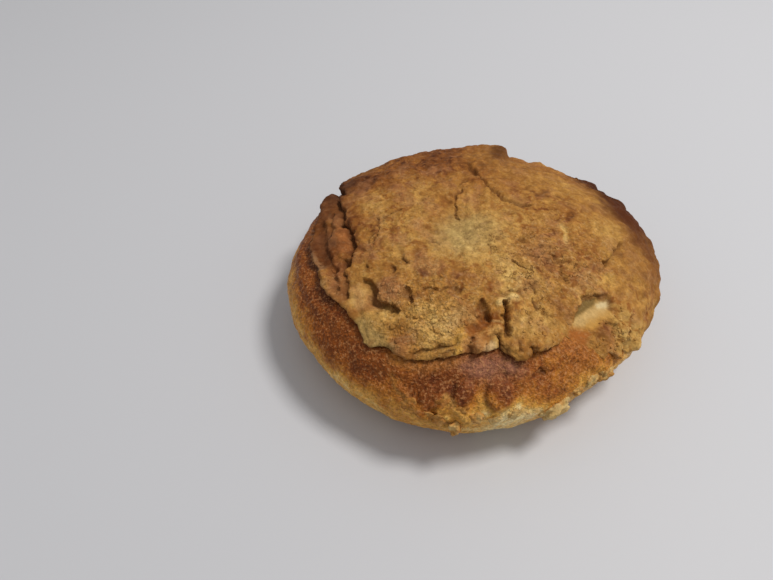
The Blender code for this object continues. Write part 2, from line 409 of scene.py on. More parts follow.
def add_node(tree: bpy.types.NodeTree, kind: str, settings: dict | None = None,
             inputs: dict | None = None) -> bpy.types.Node:
    """Add a node to a tree.

    Args:
        tree: the material's or world's node tree.
        kind: the node's type name.
        settings: its own properties.
        inputs: for each socket's name or number, a value or the output socket that feeds it.

    Returns:
        The new node.
    """
    node = tree.nodes.new(kind)
    for name, value in (settings or {}).items():
        setattr(node, name, value)
    for socket, value in (inputs or {}).items():
        if isinstance(value, bpy.types.NodeSocket):
            tree.links.new(value, node.inputs[socket])
        else:
            node.inputs[socket].default_value = value
    return node


def maths(tree: bpy.types.NodeTree, operation: str, *values: object) -> bpy.types.NodeSocket:
    """What a sum, product or the like of values and sockets comes to."""
    node = add_node(tree, "ShaderNodeMath", {"operation": operation}, dict(enumerate(values)))
    return node.outputs["Value"]


def ramped(tree: bpy.types.NodeTree, value: bpy.types.NodeSocket, start: float, end: float,
           least: float = 0.0, most: float = 1.0) -> bpy.types.NodeSocket:
    """A value that goes from least to most as the one given goes from start to end."""
    return add_node(tree, "ShaderNodeMapRange", {}, {"Value": value, "From Min": start, "From Max": end,
                                                     "To Min": least, "To Max": most}).outputs["Result"]


def laid_over(tree: bpy.types.NodeTree, under: bpy.types.NodeSocket, code: str,
              share: bpy.types.NodeSocket) -> bpy.types.NodeSocket:
    """A colour with a share of an sRGB hex colour laid over it."""
    return add_node(tree, "ShaderNodeMix", {"data_type": "RGBA"},
                    {0: share, 6: under, 7: (*linear_colour(code), 1)}).outputs[2]


@dataclass(frozen=True)
class BakeScale:
    """Colours that a surface goes through in the oven, from pale at 0 to burnt at 1."""
    stops: tuple[tuple[float, str], ...]
    gamma: float = 2.2        # between two stops the eye sees an even change

    def colours(self, bake: Array) -> Array:
        """Colour a surface by its browning.

        Args:
            bake: degrees of browning.

        Returns:
            Linear colour for each.
        """
        marks = [mark for mark, _ in self.stops]
        tones = np.array([linear_colour(code) for _, code in self.stops]) ** (1 / self.gamma)
        blended = [np.interp(bake, marks, tones[:, part]) for part in range(3)]
        return np.stack(blended, axis=-1) ** self.gamma


@dataclass(frozen=True)
class CrustFinish:
    """Baked flour crust, its browning painted on the mesh's points.

    It has almost no shine, so the eye reads dry flour. Sandy grains and freckles break the colour up,
    pale specks of painted highlight stand for sugar catching the light, and short cracks and pits,
    darkened with painted shade, show that it has risen and burst.
    """
    name: str
    specular: float
    sand: float               # width of the sandy grains, drawn coarser than sugar is so that they show
    sand_contrast: float
    freckle: float            # width of the freckles, a few grains across
    freckle_contrast: float
    bump: float               # how far the grains stand out
    glint_size: float         # width of the specks of painted highlight, drawn coarser too
    glint: float              # how much of the painted highlight's colour shows
    # colour of the painted highlights
    painted_glint_colour: str
    pit: float = 1.3 * MM
    # how dark the painted shade in the pits is
    pit_darkness: float = 0.4
    pit_depth: tuple[float, float] = (0.35, 0.27)        # where the noise is low enough for a pit
    crack_bend: float = 4.5 * MM
    crack_length: float = 4.0 * MM
    crack_width: float = 0.018                           # in the noise that the cracks follow
    crack_patches: tuple[float, float] = (0.52, 0.60)    # where the noise is high enough for cracks
    # colour of the painted shade in the cracks and pits
    crack_shade_colour: str = "#643716"
    usual: tuple[float, float] = (0.3, 0.7)              # between which most of the noise lies
    glint_peaks: tuple[float, float] = (0.52, 0.76)
    noise_roughness: float = 0.6
    freckle_height: float = 2.0                          # against that of the sandy grains

    def clouds(self, tree: bpy.types.NodeTree, place: bpy.types.NodeSocket, size: float,
               detail: float) -> bpy.types.NodeSocket:
        """Noise from 0 to 1 with clouds of a width."""
        return add_node(tree, "ShaderNodeTexNoise", {}, {
            "Vector": place, "Scale": 1 / size, "Detail": detail,
            "Roughness": self.noise_roughness}).outputs["Fac"]

    def material(self) -> bpy.types.Material:
        """Build the material.

        Returns:
            The material. It reads the points' baked colour and how coarse, cracked and rough they are.
        """
        material = bpy.data.materials.new(self.name)
        material.use_nodes = True
        tree = material.node_tree
        tree.nodes.clear()
        place = add_node(tree, "ShaderNodeTexCoord").outputs["Object"]
        traits = (("baked", "Color"), ("coarse", "Fac"), ("cracked", "Fac"), ("rough", "Fac"))
        baked, coarse, cracked, rough = (
            add_node(tree, "ShaderNodeAttribute", {"attribute_name": trait}).outputs[output]
            for trait, output in traits)
        sand = self.clouds(tree, place, self.sand, 1.0)
        freckles = self.clouds(tree, place, self.freckle, 3.0)
        glints = self.clouds(tree, place, self.glint_size, 2.0)
        grain = maths(tree, "ADD",
                      ramped(tree, sand, *self.usual, -self.sand_contrast, self.sand_contrast),
                      ramped(tree, freckles, *self.usual, -self.freckle_contrast, self.freckle_contrast))
        lit = maths(tree, "MULTIPLY_ADD", grain, coarse, 1.0)
        grainy = add_node(tree, "ShaderNodeVectorMath", {"operation": "SCALE"}, {0: baked, "Scale": lit})
        # pale specks of painted highlight, laid over the grainy colour
        speck = maths(tree, "MULTIPLY", ramped(tree, glints, *self.glint_peaks, 0.0, self.glint), coarse)
        flecked = laid_over(tree, grainy.outputs["Vector"], self.painted_glint_colour, speck)
        # painted shade in the cracks and pits, which the bump also sinks
        crack = self.hairlines(tree, place, cracked)
        relief = maths(tree, "MULTIPLY_ADD", freckles, self.freckle_height, sand)
        bump = add_node(tree, "ShaderNodeBump", {}, {
            "Height": maths(tree, "SUBTRACT", relief, crack), "Strength": coarse, "Distance": self.bump})
        shader = add_node(tree, "ShaderNodeBsdfPrincipled", {}, {
            "Base Color": laid_over(tree, flecked, self.crack_shade_colour, crack), "Roughness": rough,
            "Specular IOR Level": self.specular, "Normal": bump.outputs["Normal"]})
        add_node(tree, "ShaderNodeOutputMaterial", {}, {"Surface": shader.outputs["BSDF"]})
        return material

    def hairlines(self, tree: bpy.types.NodeTree, place: bpy.types.NodeSocket,
                  cracked: bpy.types.NodeSocket) -> bpy.types.NodeSocket:
        """Short winding cracks and small pits, which painted shade darkens.

        Args:
            tree: the material's node tree.
            place: the pattern's coordinates.
            cracked: how cracked the surface is, from 0 to 1.

        Returns:
            A socket that is 1 in a crack or a pit and 0 off it.
        """
        winding = self.clouds(tree, place, self.crack_bend, 3.0)
        away = maths(tree, "ABSOLUTE", maths(tree, "SUBTRACT", winding, 0.5))
        patch = ramped(tree, self.clouds(tree, place, self.crack_length, 1.0), *self.crack_patches)
        short = maths(tree, "MULTIPLY", ramped(tree, away, self.crack_width, 0.0), patch)
        pits = ramped(tree, self.clouds(tree, place, self.pit, 2.0), *self.pit_depth, 0.0, self.pit_darkness)
        return maths(tree, "MULTIPLY", maths(tree, "MAXIMUM", short, pits), cracked)


@dataclass(frozen=True)
class TableFinish:
    """Pale matte laminate: cool and even, so that the eye stays on the warm crust."""
    name: str = "pale_laminate"
    colour: str = "#C8CAD1"
    roughness: float = 0.6

    def material(self) -> bpy.types.Material:
        """Build the material.

        Returns:
            The material.
        """
        material = bpy.data.materials.new(self.name)
        material.use_nodes = True
        tree = material.node_tree
        shader = tree.nodes["Principled BSDF"]
        shader.inputs["Base Color"].default_value = (*linear_colour(self.colour), 1)
        shader.inputs["Roughness"].default_value = self.roughness
        return material


# ---------------------------------------------------------------- pieces

def sphere_to_mould(segments: int, rings: int) -> tuple[bmesh.types.BMesh, Array, Array]:
    """Close a grid to a sphere.

    Args:
        segments: faces round it.
        rings: faces from its top to its bottom.

    Returns:
        The form, and the bearing and the ring number of each of its points.
    """
    form = bmesh.new()
    bmesh.ops.create_grid(form, x_segments=segments, y_segments=rings, size=1)
    sheet = point_array(form)
    turn = (sheet[:, 0] + 1) * pi
    fall = (1 - sheet[:, 1]) / 2 * pi
    globe = np.stack([np.sin(fall) * np.cos(turn), np.sin(fall) * np.sin(turn), np.cos(fall)], axis=-1)
    move_points(form, globe)
    bmesh.ops.remove_doubles(form, verts=form.verts, dist=SEAM)
    bmesh.ops.recalc_face_normals(form, faces=form.faces)
    globe = point_array(form)
    fall = np.arctan2(np.hypot(globe[:, 0], globe[:, 1]), globe[:, 2])
    return form, np.arctan2(globe[:, 1], globe[:, 0]), fall / pi * rings


def point_array(form: bmesh.types.BMesh) -> Array:
    """The mesh's points as an array."""
    return np.array([vert.co[:] for vert in form.verts])


def move_points(form: bmesh.types.BMesh, points: Array) -> None:
    """Put the points of a mesh in new places.

    Args:
        form: the mesh.
        points: where each of its points goes.
    """
    for vert, point in zip(form.verts, points.tolist()):
        vert.co = point
    form.normal_update()


def swell_points(form: bmesh.types.BMesh, rise: Array) -> None:
    """Push the points of a mesh out along their normals.

    Args:
        form: the mesh.
        rise: how far each of its points goes.
    """
    for vert, step in zip(form.verts, rise.tolist()):
        vert.co += vert.normal * step
    form.normal_update()


def finished(name: str, form: bmesh.types.BMesh, finish: CrustFinish, colours: Array,
             **surface: Array) -> bpy.types.Object:
    """Make a shown piece of a form, which is freed.

    Args:
        name: the object's name.
        form: its shape.
        finish: what it is made of.
        colours: linear colour of each point.
        surface: traits of each point, as for dressed.

    Returns:
        The object.
    """
    mesh = bpy.data.meshes.new(name)
    form.to_mesh(mesh)
    form.free()
    return dressed(name, mesh, finish, colours, **surface)


def dressed(name: str, mesh: bpy.types.Mesh, finish: CrustFinish, colours: Array,
            **surface: Array) -> bpy.types.Object:
    """Make a shown piece of a mesh.

    Args:
        name: the object's name.
        mesh: its shape.
        finish: what it is made of.
        colours: linear colour of each point.
        surface: for each point how coarse, cracked and rough it is, and how crumbly where grains
            are strewn over it, each from 0 to 1.

    Returns:
        The object, riding on the bun's one body.
    """
    mesh.shade_smooth()
    baked = mesh.color_attributes.new("baked", "FLOAT_COLOR", "POINT")
    baked.data.foreach_set("color", np.column_stack([colours, np.ones(len(colours))]).ravel())
    for trait, value in surface.items():
        values = np.broadcast_to(value, len(colours)).astype(np.float32)
        mesh.attributes.new(trait, "FLOAT", "POINT").data.foreach_set("value", values)
    mesh.materials.append(finish.material())
    piece = bpy.data.objects.new(name, mesh)
    bpy.context.scene.collection.objects.link(piece)
    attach(piece, "root")
    LOG.info("%s: %d faces", name, len(mesh.polygons))
    return piece


@dataclass(frozen=True)
class TornWindow:
    """Where the slab has broken away: fresh cream dough in a band, shaded above it and browned below."""
    opening: Terrace = Terrace((
        (25.8, -43), (26.6, -41), (27.8, -38), (29.3, -33.4), (30.9, -30.4), (32.8, -29), (36.5, -28.2),
        (40.2, -27.6), (41.4, -29.8), (40.4, -32.8), (38.2, -35.6), (36.2, -38.2), (33.6, -41.6),
        (32, -44.6), (31, -50), (25.5, -50)), 0.6, 1.3)
    dough: str = "#BC8C44"
    band: Tint = Tint(((39.4, -30), (36.2, -32.8), (32.8, -35.4), (29.4, -37.6)), 2.4, "#CDB07A", 0.6)
    fresh: str = "#D9C394"
    fresh_patch: Blot = Blot(38.9, -29.6, 1.8, 1, 4)
    shade: str = "#7C6235"
    shade_foot: tuple[float, float] = (28.5 * MM, -38 * MM)      # its edge rises from here to the right
    shade_slope: float = 0.8
    shade_edge: tuple[float, float] = (0.18 * MM, 1.98 * MM)     # over that line
    shade_end: tuple[float, float] = (38 * MM, 35.5 * MM)        # in x
    browned: str = "#A0602A"
    browned_foot: tuple[float, float] = (-38.6 * MM, -42 * MM)   # in y
    crumbly_foot: tuple[float, float] = (-42 * MM, -38 * MM)     # in y

    def smoothness(self, places: Array, torn: Array) -> Array:
        """1 on the bare dough and 0 off it and at its crumbly foot."""
        return self.opening.share(torn) * ramp(places[:, 1], *self.crumbly_foot)

    def paint(self, places: Array, torn: Array, colours: Array) -> Array:
        """Lay the window's colours over the slab's.

        Args:
            places: flat places.
            torn: the same places, as torn lines have them.
            colours: the slab's linear colours there.

        Returns:
            The colours with the window's among them.
        """
        x, y = places.T
        foot_x, foot_y = self.shade_foot
        over_foot = y - foot_y - self.shade_slope * (x - foot_x)
        inner = mixed(colours * 0 + linear_colour(self.dough), self.band.code, self.band.share(torn))
        inner = mixed(inner, self.fresh, self.fresh_patch.share(torn))
        inner = mixed(inner, self.shade, ramp(over_foot, *self.shade_edge) * ramp(x, *self.shade_end))
        inner = mixed(inner, self.browned, ramp(y, *self.browned_foot))
        return colours + (inner - colours) * self.opening.share(torn)[:, None]


@dataclass(frozen=True)
class StreuselSlab:
    """The craggy slab over the crown: thick at the back and front left, thin down the right flank."""
    skin: Skin
    centre_thickness: float = 4.0 * MM
    least_thickness: float = 0.4 * MM
    rim_from: tuple[float, float] = (0.3125, 0.9375)    # on the way out, where it gets as thick as the rim
    sink: float = 0.3 * MM                              # how far its underside reaches into the dough
    rim_round: float = 1.5 * MM
    undercut: float = 1.4 * MM
    undercut_reach: float = 3.5 * MM
    undercut_side: tuple[float, float] = (195, 294)
    undercut_ease: tuple[float, float] = (8, 4)         # degrees, at its two ends
    segments: int = 560
    rings: tuple[int, int, int] = (136, 16, 12)         # top, rim and underside
    waves: Clouds = Clouds(0.5 * MM, 14 * MM, Seed.WAVES, 2)
    edge_wear: Clouds = Clouds(0.45 * MM, 4 * MM, Seed.EDGE, 4)
    edge_middle: float = 50 * MM                        # how far out the edge's wear is read
    tearing: Tearing = Tearing(0.6 * MM, 2.5 * MM)
    groove_wear: Clouds = Clouds(0.25, 3.0 * MM, Seed.TORN)
    heap: Heap = Heap(3.4 * MM, 1.6 * MM, 0.65)
    crumb_height: tuple[float, float] = (1.2 * MM, 0.5 * MM)     # of the large ones and the small ones
    crumb_foot: float = 0.4                             # share of a crumb that lies below the surface
    mounds: Clouds = Clouds(0.8 * MM, 4.0 * MM, Seed.MOUNDS, 5)
    mound_share: tuple[float, float] = (0.4, 0.5)       # where it is smooth, and more where it is crumbly
    relief_from: float = 1 / 3                          # how far the rim turns up before it has crumbs
    edge: Table = (
        (0, 75), (9, 77), (20, 74), (31, 75.5), (42, 72), (52, 74), (64, 71), (76, 70.5), (84, 68), (95, 70),
        (106, 67), (115, 69.5), (124, 66.5), (134, 67.5), (139, 66.5), (145.4, 59.5),
        (149, 60.5), (158, 57.5), (165, 55.5), (172, 54.5), (180, 54), (186, 53.3), (191, 52.5), (197, 51.8),
        (203, 51.6), (208, 51), (212, 50.3), (216, 49.6), (220, 49.8), (224, 50.6), (227, 52.3), (229, 53.4),
        (231, 53.3), (234.5, 51.7), (238.5, 51.6), (242.5, 51.9), (246, 51.5), (251, 49.8),
        (258.4, 47.6), (261, 46.9), (263.5, 47.3), (266, 47.6), (269, 46.2), (272, 45.4), (273.5, 47),
        (275, 48.6), (277.5, 50.3), (280.5, 51), (284, 49.2), (287, 49.6),
        (291.5, 50), (295.6, 49.8), (299, 50.2), (302, 53), (304, 57), (306, 58), (308.5, 62), (311, 61.5),
        (314, 65), (316.5, 63.5), (319, 67), (322, 66.5), (325, 70.5), (330, 72.5), (335, 76),
        (345, 77), (360, 75),
    )
    thickness: Table = (
        (0, 1.8), (60, 1.6), (70.2, 1.8), (72.0, 5.2), (95, 5.0), (142, 4.6), (150, 4.2), (200, 3.2),
        (215, 3.3), (256, 3.3), (266, 3.0), (276, 3.8), (290, 3.2), (296, 1.6), (303, 1.2),
        (330, 1.5), (360, 1.6),
    )
    flap: Terrace = Terrace((
        (-47, 32), (-46, 20), (-44, 10), (-40.5, 2), (-39.2, -5), (-40, -12), (-41, -19), (-44, -26),
        (-62, -36), (-80, 0), (-66, 44)), 2.5, 1.2)
    lower_crust: Terrace = Terrace((
        (45, -3), (42, -9), (38.5, -14.5), (37, -18), (37.5, -22), (40.6, -26), (41.7, -30), (40.4, -33),
        (36.8, -38.6), (33.2, -43.4), (31, -52), (44, -72), (90, -50), (90, 6), (60, 6)), 1.7, 1)
    window: TornWindow = TornWindow()
    grooves: tuple[Groove, ...] = (
        # the gap between the flap and the slab, and the folds of the flap
        Groove(((-50, 38), (-48, 31), (-46.2, 24)), 1.7, 3.6, 0.8, 3),
        Groove(((-46.2, 24), (-46, 18), (-43.5, 12), (-43.2, 6), (-40.2, 2.5), (-39.5, -2), (-38.3, -6.5),
               (-39, -11), (-40.6, -14)), 0.95, 2.6, 0.95),
        Groove(((-41.3, -11.5), (-40.7, -16), (-40.1, -20.5), (-39.6, -25)), 0.7, 1.3, 0.7),
        Groove(((-50.5, 8), (-49.4, -1), (-47.4, -9), (-44.5, -15)), 1.5, 1.2, 0.5),
        Groove(((-47.4, 12), (-46.8, 5), (-47.2, 1)), 0.9, 0.8, 0.4),
        Groove(((-44.2, -14.6), (-43.6, -19), (-42.6, -22)), 0.8, 0.8, 0.4),
        # the bent furrow of the front left corner
        Groove(((-35.3, -20.4), (-33.1, -21.5), (-31.9, -24.1), (-31.7, -27.6), (-30.1, -29.6),
               (-27.8, -30.8), (-25.6, -31.1)), 1.1, 2.2, 0.45, 5),
        Groove(((-22.6, -24.8), (-22.2, -27), (-21.2, -29.5)), 0.85, 1.6, 0.5, 4),
        # the furrows over the middle of the front rim
        Groove(((-1.8, -31.4), (-1.2, -34), (-0.5, -36.8)), 0.8, 1.6, 0.6, 3),
        Groove(((5, -32.2), (4.9, -35), (4.6, -38.2), (4.6, -42)), 0.75, 2.4, 0.7, 4),
        Groove(((3.4, -29.6), (7.2, -28.7), (12, -28.2)), 0.9, 0.8, 0.35),
        # the hollows round the crumbs at the front rim
        Groove(((-5.3, -42.4), (-5.7, -44.2), (-5.2, -46.2), (-3.6, -47.8)), 0.42, 0.7, 0.6, 3),
        Groove(((-3.2, -36.4), (-1.6, -38.6), (-0.4, -38.9)), 0.5, 0.6, 0.4),
        Groove(((-4.6, -38.4), (-2.6, -40.4)), 0.5, 0.5, 0.4),
        Groove(((-1.7, -44), (-1.6, -45.4), (-1.2, -46.6)), 0.35, 0.8, 0.5, 3),
        Groove(((-0.4, -42.6), (1, -42), (2.2, -41.9)), 0.3, 0.4, 0.6),
        Groove(((2.1, -43.2), (2.4, -45.2)), 0.7, 1.7, 0.95, 4),
        Groove(((3, -46.6), (4.4, -47.9)), 0.7, 1.5, 0.9, 4),
        Groove(((7.6, -46.8), (7.2, -44.8)), 0.4, 0.6, 0.4),
        Groove(((11.2, -46.2), (12.6, -47.6), (15.4, -47.4)), 0.5, 1, 0.6),
        # the crack round the plate at the back
        Groove(((0, 36), (0.9, 34), (2.6, 27.4), (4.8, 20.7), (7.7, 14.6), (9.8, 11.3), (13.3, 9.3),
               (17, 9)), 0.5, 0.9, 0.7),
        Groove(((1.6, 30.6), (2.8, 26.8)), 0.8, 0.4, 0.4),
        Groove(((45, -3.5), (42.5, -8), (39, -14)), 0.9, 1, 0.45),
        # the shadowed break along the top of the window
        Groove(((30.6, -29.8), (33, -28.2), (36, -27.6), (39.6, -26.8)), 0.7, 1.2, 0.55, 3),
        Groove(((40.6, -27.4), (41.5, -29.6), (41, -31.6)), 0.7, 0.8, 0.5),
        # the folds of the lower right corner
        Groove(((39.4, -36), (37.4, -39), (35.4, -42.6)), 0.9, 0.7, 0.35),
        Groove(((43, -34), (42, -38.5), (40.4, -43)), 0.8, 0.7, 0.35),
        Groove(((49.5, -31), (49.6, -35), (47.2, -38), (47.8, -41.6)), 0.8, 0.8, 0.4),
        Groove(((55, -30), (54.6, -35)), 0.8, 0.6, 0.3),
        # the layers of the front left rim
        Groove(((-20.9, -44.9), (-17.4, -44.3), (-13.5, -44.2), (-9.3, -43.5)), 0.5, 1, 0.6),
        Groove(((-20.9, -46.1), (-16.3, -46.2), (-9.7, -45.4)), 0.4, 0.7, 0.45),
    )
    cracks: tuple[Groove, ...] = (
        Groove(((-3.6, 18), (-5.7, 12.8), (-6.4, 9.9), (-6.5, 3.1)), 0.42, 0.8, 0.75),
        Groove(((-2, 22.9), (-4.1, 20.3)), 0.42, 0.6, 0.6),
        Groove(((-24.1, 8.3), (-26.3, 6.1), (-28.6, 4.4)), 0.4, 0.7, 0.7),
        Groove(((-30.6, 4.8), (-30.7, 1.1), (-31, -3.8), (-32, -6.4)), 0.4, 0.6, 0.6),
        Groove(((-32.2, -2.6), (-33.6, -5)), 0.5, 0.5, 0.6),
        Groove(((-21, 22), (-18.6, 17)), 0.4, 0.4, 0.4),
        Groove(((-22.9, -13.8), (-21.5, -15.9)), 0.6, 1.1, 0.9),
        Groove(((-25.8, -16.6), (-26, -18.4)), 0.5, 0.8, 0.7),
        Groove(((-33.5, -15.6),), 0.8, 0.8, 0.7),
        Groove(((-17.5, -25.9), (-16, -25.3), (-14.8, -25.5), (-13.6, -26)), 0.45, 0.8, 0.7),
        Groove(((-12.4, -26.5), (-9.9, -25.7), (-8.6, -26.2)), 0.4, 0.7, 0.6),
        Groove(((-7.4, -26.7),), 0.9, 0.8, 0.8),
        Groove(((9, -17.3), (11, -19.4), (12.8, -20.8)), 0.36, 0.6, 0.7),
        Groove(((16.9, -19.4), (18, -21.8)), 0.4, 0.6, 0.7),
        Groove(((24.5, -20.6), (26.6, -23.9)), 0.4, 0.6, 0.65),
        Groove(((22, -17.2), (24.4, -16), (26.4, -15.8)), 0.45, 0.5, 0.55),
        Groove(((21.4, -13.9), (23.1, -15)), 0.5, 0.6, 0.7),
        Groove(((13.7, -13.5), (16.8, -15.7)), 0.4, 0.5, 0.5),
        Groove(((14.1, -31.7), (15.7, -34.4)), 0.45, 0.8, 0.8),
        Groove(((16.8, -36), (19.3, -37)), 0.4, 0.6, 0.6),
        Groove(((14.6, -26.4), (14.8, -28.4)), 0.8, 0.8, 0.65),
        Groove(((8.3, -24.1), (9.9, -25.7)), 0.4, 0.5, 0.5),
        Groove(((5.2, -6.7), (7.5, -7.4)), 0.45, 0.4, 0.5),
        Groove(((12.2, -7.6), (13.2, -8)), 0.5, 0.5, 0.6),
        Groove(((9.8, 4.3), (11, 5.6), (13, 6.2)), 0.8, 0.4, 0.35),
        Groove(((13.1, -7.3), (13.5, -8.6)), 0.5, 0.5, 0.6),
        Groove(((15.8, -4.8), (16.1, -6.2)), 0.5, 0.5, 0.5),
        Groove(((18.8, -8.8), (19, -10.5)), 0.35, 0.5, 0.6),
        Groove(((21.7, -13.8), (22.5, -15.4)), 0.4, 0.6, 0.7),
        Groove(((24.8, -17.7), (25.1, -20.7)), 0.4, 0.6, 0.6),
        Groove(((20.3, -20.3), (21, -21)), 0.4, 0.5, 0.6),
        Groove(((12.6, -23.6), (14, -24.2)), 0.35, 0.4, 0.5),
        Groove(((-14, -8), (-12.5, -9.6)), 0.35, 0.4, 0.5),
        Groove(((-36, -8), (-34.6, -9)), 0.4, 0.4, 0.5),
    )
    streaks: tuple[Groove, ...] = (
        Groove(((25.5, 1), (26.3, -3), (27, -8)), 0.8, 0.3, -0.3),
        Groove(((2.9, -32.6), (5.2, -30.9), (8.6, -30.4)), 0.8, -0.5, -0.35),
        # the strands of molten sugar at the front rim
        Groove(((-5.6, -41.4), (-3, -40.8), (0.2, -40.4), (2.6, -40.2)), 0.7, -0.5, -0.15),
        Groove(((-7.6, -40.6), (-8.8, -43.4), (-9.1, -46.4)), 0.9, -1, -0.15),
        Groove(((-0.6, -45.4), (0, -44.2), (0.9, -43.4)), 0.9, -0.5, -0.3),
        # the edge of the flap
        Groove(((-53.4, 4), (-52.6, -3), (-49.8, -10.5), (-46.8, -17.5), (-44, -23.5)), 1, -0.9, -0.1),
    )
    swellings: tuple[Blot, ...] = (
        Blot(-52, 25, 7, 2, 5), Blot(-50.5, 12, 7, 1.5), Blot(-42.5, 0, 3.5, 0.8), Blot(-44, -21, 3.5, 0.8),
        Blot(-33, -39, 4, -0.5), Blot(-2, -38, 4.5, -1.4), Blot(-3.6, -44.4, 1.7, 1.3, 3),
        Blot(-3.2, -46, 1.7, 1.7, 3), Blot(10, -40, 6.5, 0.8), Blot(-5, 2, 9, -0.8),
        Blot(-27.5, -25, 4, 0.9, 4), Blot(-16, -34, 9, 0.7), Blot(0, -42.2, 2, -0.7),
        # the crumbs of the chunk right of the middle
        Blot(5.6, -46, 1.8, 1, 4), Blot(9.4, -48, 2, 0.9, 4), Blot(9.6, -44.3, 2.2, 0.8, 4),
        Blot(13.2, -45, 2.1, 1.2, 4), Blot(17, -45.6, 1.8, 0.7, 4),
        # the lip that stands up at the back, and the knobs along the back right rim
        Blot(10, 60, 11, 1.2, 6), Blot(14, 50, 4, 0.8, 4), Blot(24, 56, 3, 1.6), Blot(31, 50, 3, 1),
        Blot(34, 32, 12, -1), Blot(49, 40, 3.6, 1.4), Blot(57, 28, 3.6, 1.2),
        # the rough lower right corner
        Blot(45.5, -37, 3.2, 1), Blot(53, -40, 3.5, 1.1), Blot(38, -41, 3.2, 1.1), Blot(44, -45, 3, 1),
        Blot(62, -27, 9, -1.1), Blot(46, -30, 3, 0.8), Blot(41, -35, 2, 0.9), Blot(52, -34, 2.6, 0.9),
    )
    crumbly: tuple[Blot, ...] = (                       # where the relief is coarser
        Blot(-45, -14, 10, 0.2), Blot(-50, 14, 12, 0.1), Blot(-27, -25, 5, 0.2), Blot(-18, -35, 14, 0.3),
        Blot(12, -40, 10, 0.15), Blot(48, 40, 16, 0.12), Blot(44, -40, 11, 0.4), Blot(12, -46, 8, 0.1),
        Blot(-1, -45, 5, -0.1),
    )
    sandy: tuple[Blot, ...] = (                         # where the grains are coarser in colour alone
        Blot(22, -16, 20, 0.4), Blot(-28, 0, 14, 0.15), Blot(-20, 36, 18, 0.15), Blot(-48, 6, 14, -0.1),
        Blot(52, 22, 16, -0.25), Blot(-15, -32, 16, 0.3), Blot(46, -38, 12, -0.25),
    )
    speckled: tuple[Blot, ...] = (                      # where there are more small brown spots
        Blot(-30, -2, 14, 0.5), Blot(-20, 36, 20, 0.45), Blot(22, 8, 14, 0.7), Blot(0, -24, 16, 0.4),
        Blot(28, -18, 12, 0.5), Blot(50, -30, 16, 0.6),
    )
    stains: tuple[Blot, ...] = (
        # browned
        Blot(-48, 4, 13, 0.24), Blot(-46, -12, 7, 0.1), Blot(-44, 30, 10, 0.34), Blot(-20, 42, 20, 0.16),
        Blot(-28, -24, 4, 0.14), Blot(-43, -22, 4, 0.1), Blot(-10, -30, 5, 0.06), Blot(2, 46, 22, 0.18),
        Blot(60, 25, 14, 0.3), Blot(28, 5, 3.5, 0.2), Blot(-9.5, -20.5, 6, 0.1), Blot(50, 40, 12, 0.25),
        Blot(-25, -39, 4, 0.1), Blot(11, -46, 5, 0.16),
        Blot(-28, 28, 9, 0.12), Blot(-48, 18, 8, 0.1), Blot(-46, -6, 6, 0.12), Blot(54, -8, 9, 0.18),
        Blot(24, 30, 16, 0.09), Blot(23, 15, 2.2, 0.3), Blot(38.5, 11, 1.8, 0.2), Blot(-18, -12, 3, 0.16),
        Blot(-17.2, -19.8, 1.3, 0.4), Blot(45.5, -6.5, 1.8, 0.3), Blot(38.2, -40.4, 3.5, 0.22),
        Blot(-1, -35, 3.5, 0.15), Blot(-3.8, -45, 2.4, 0.1), Blot(0.5, -26.5, 1.5, 0.3),
        Blot(7, -33.5, 2.4, 0.2),
        # pale
        Blot(-5, -6, 13, -0.12), Blot(4, -15, 9, -0.08), Blot(-11, -38, 5, -0.1), Blot(39, 3, 6, -0.1),
        Blot(40, -20, 3, -0.16), Blot(-36, -26, 3, -0.26), Blot(-30, -33.5, 5, -0.14),
        Blot(12, -41, 8, -0.24), Blot(-15, -37, 9, -0.15), Blot(34, -22, 5, -0.08),
        Blot(49, -37, 11, -0.22), Blot(-33, 8, 6, -0.08), Blot(10.4, -23.3, 6, -0.18),
        Blot(-25, 1, 6, -0.08),
    )
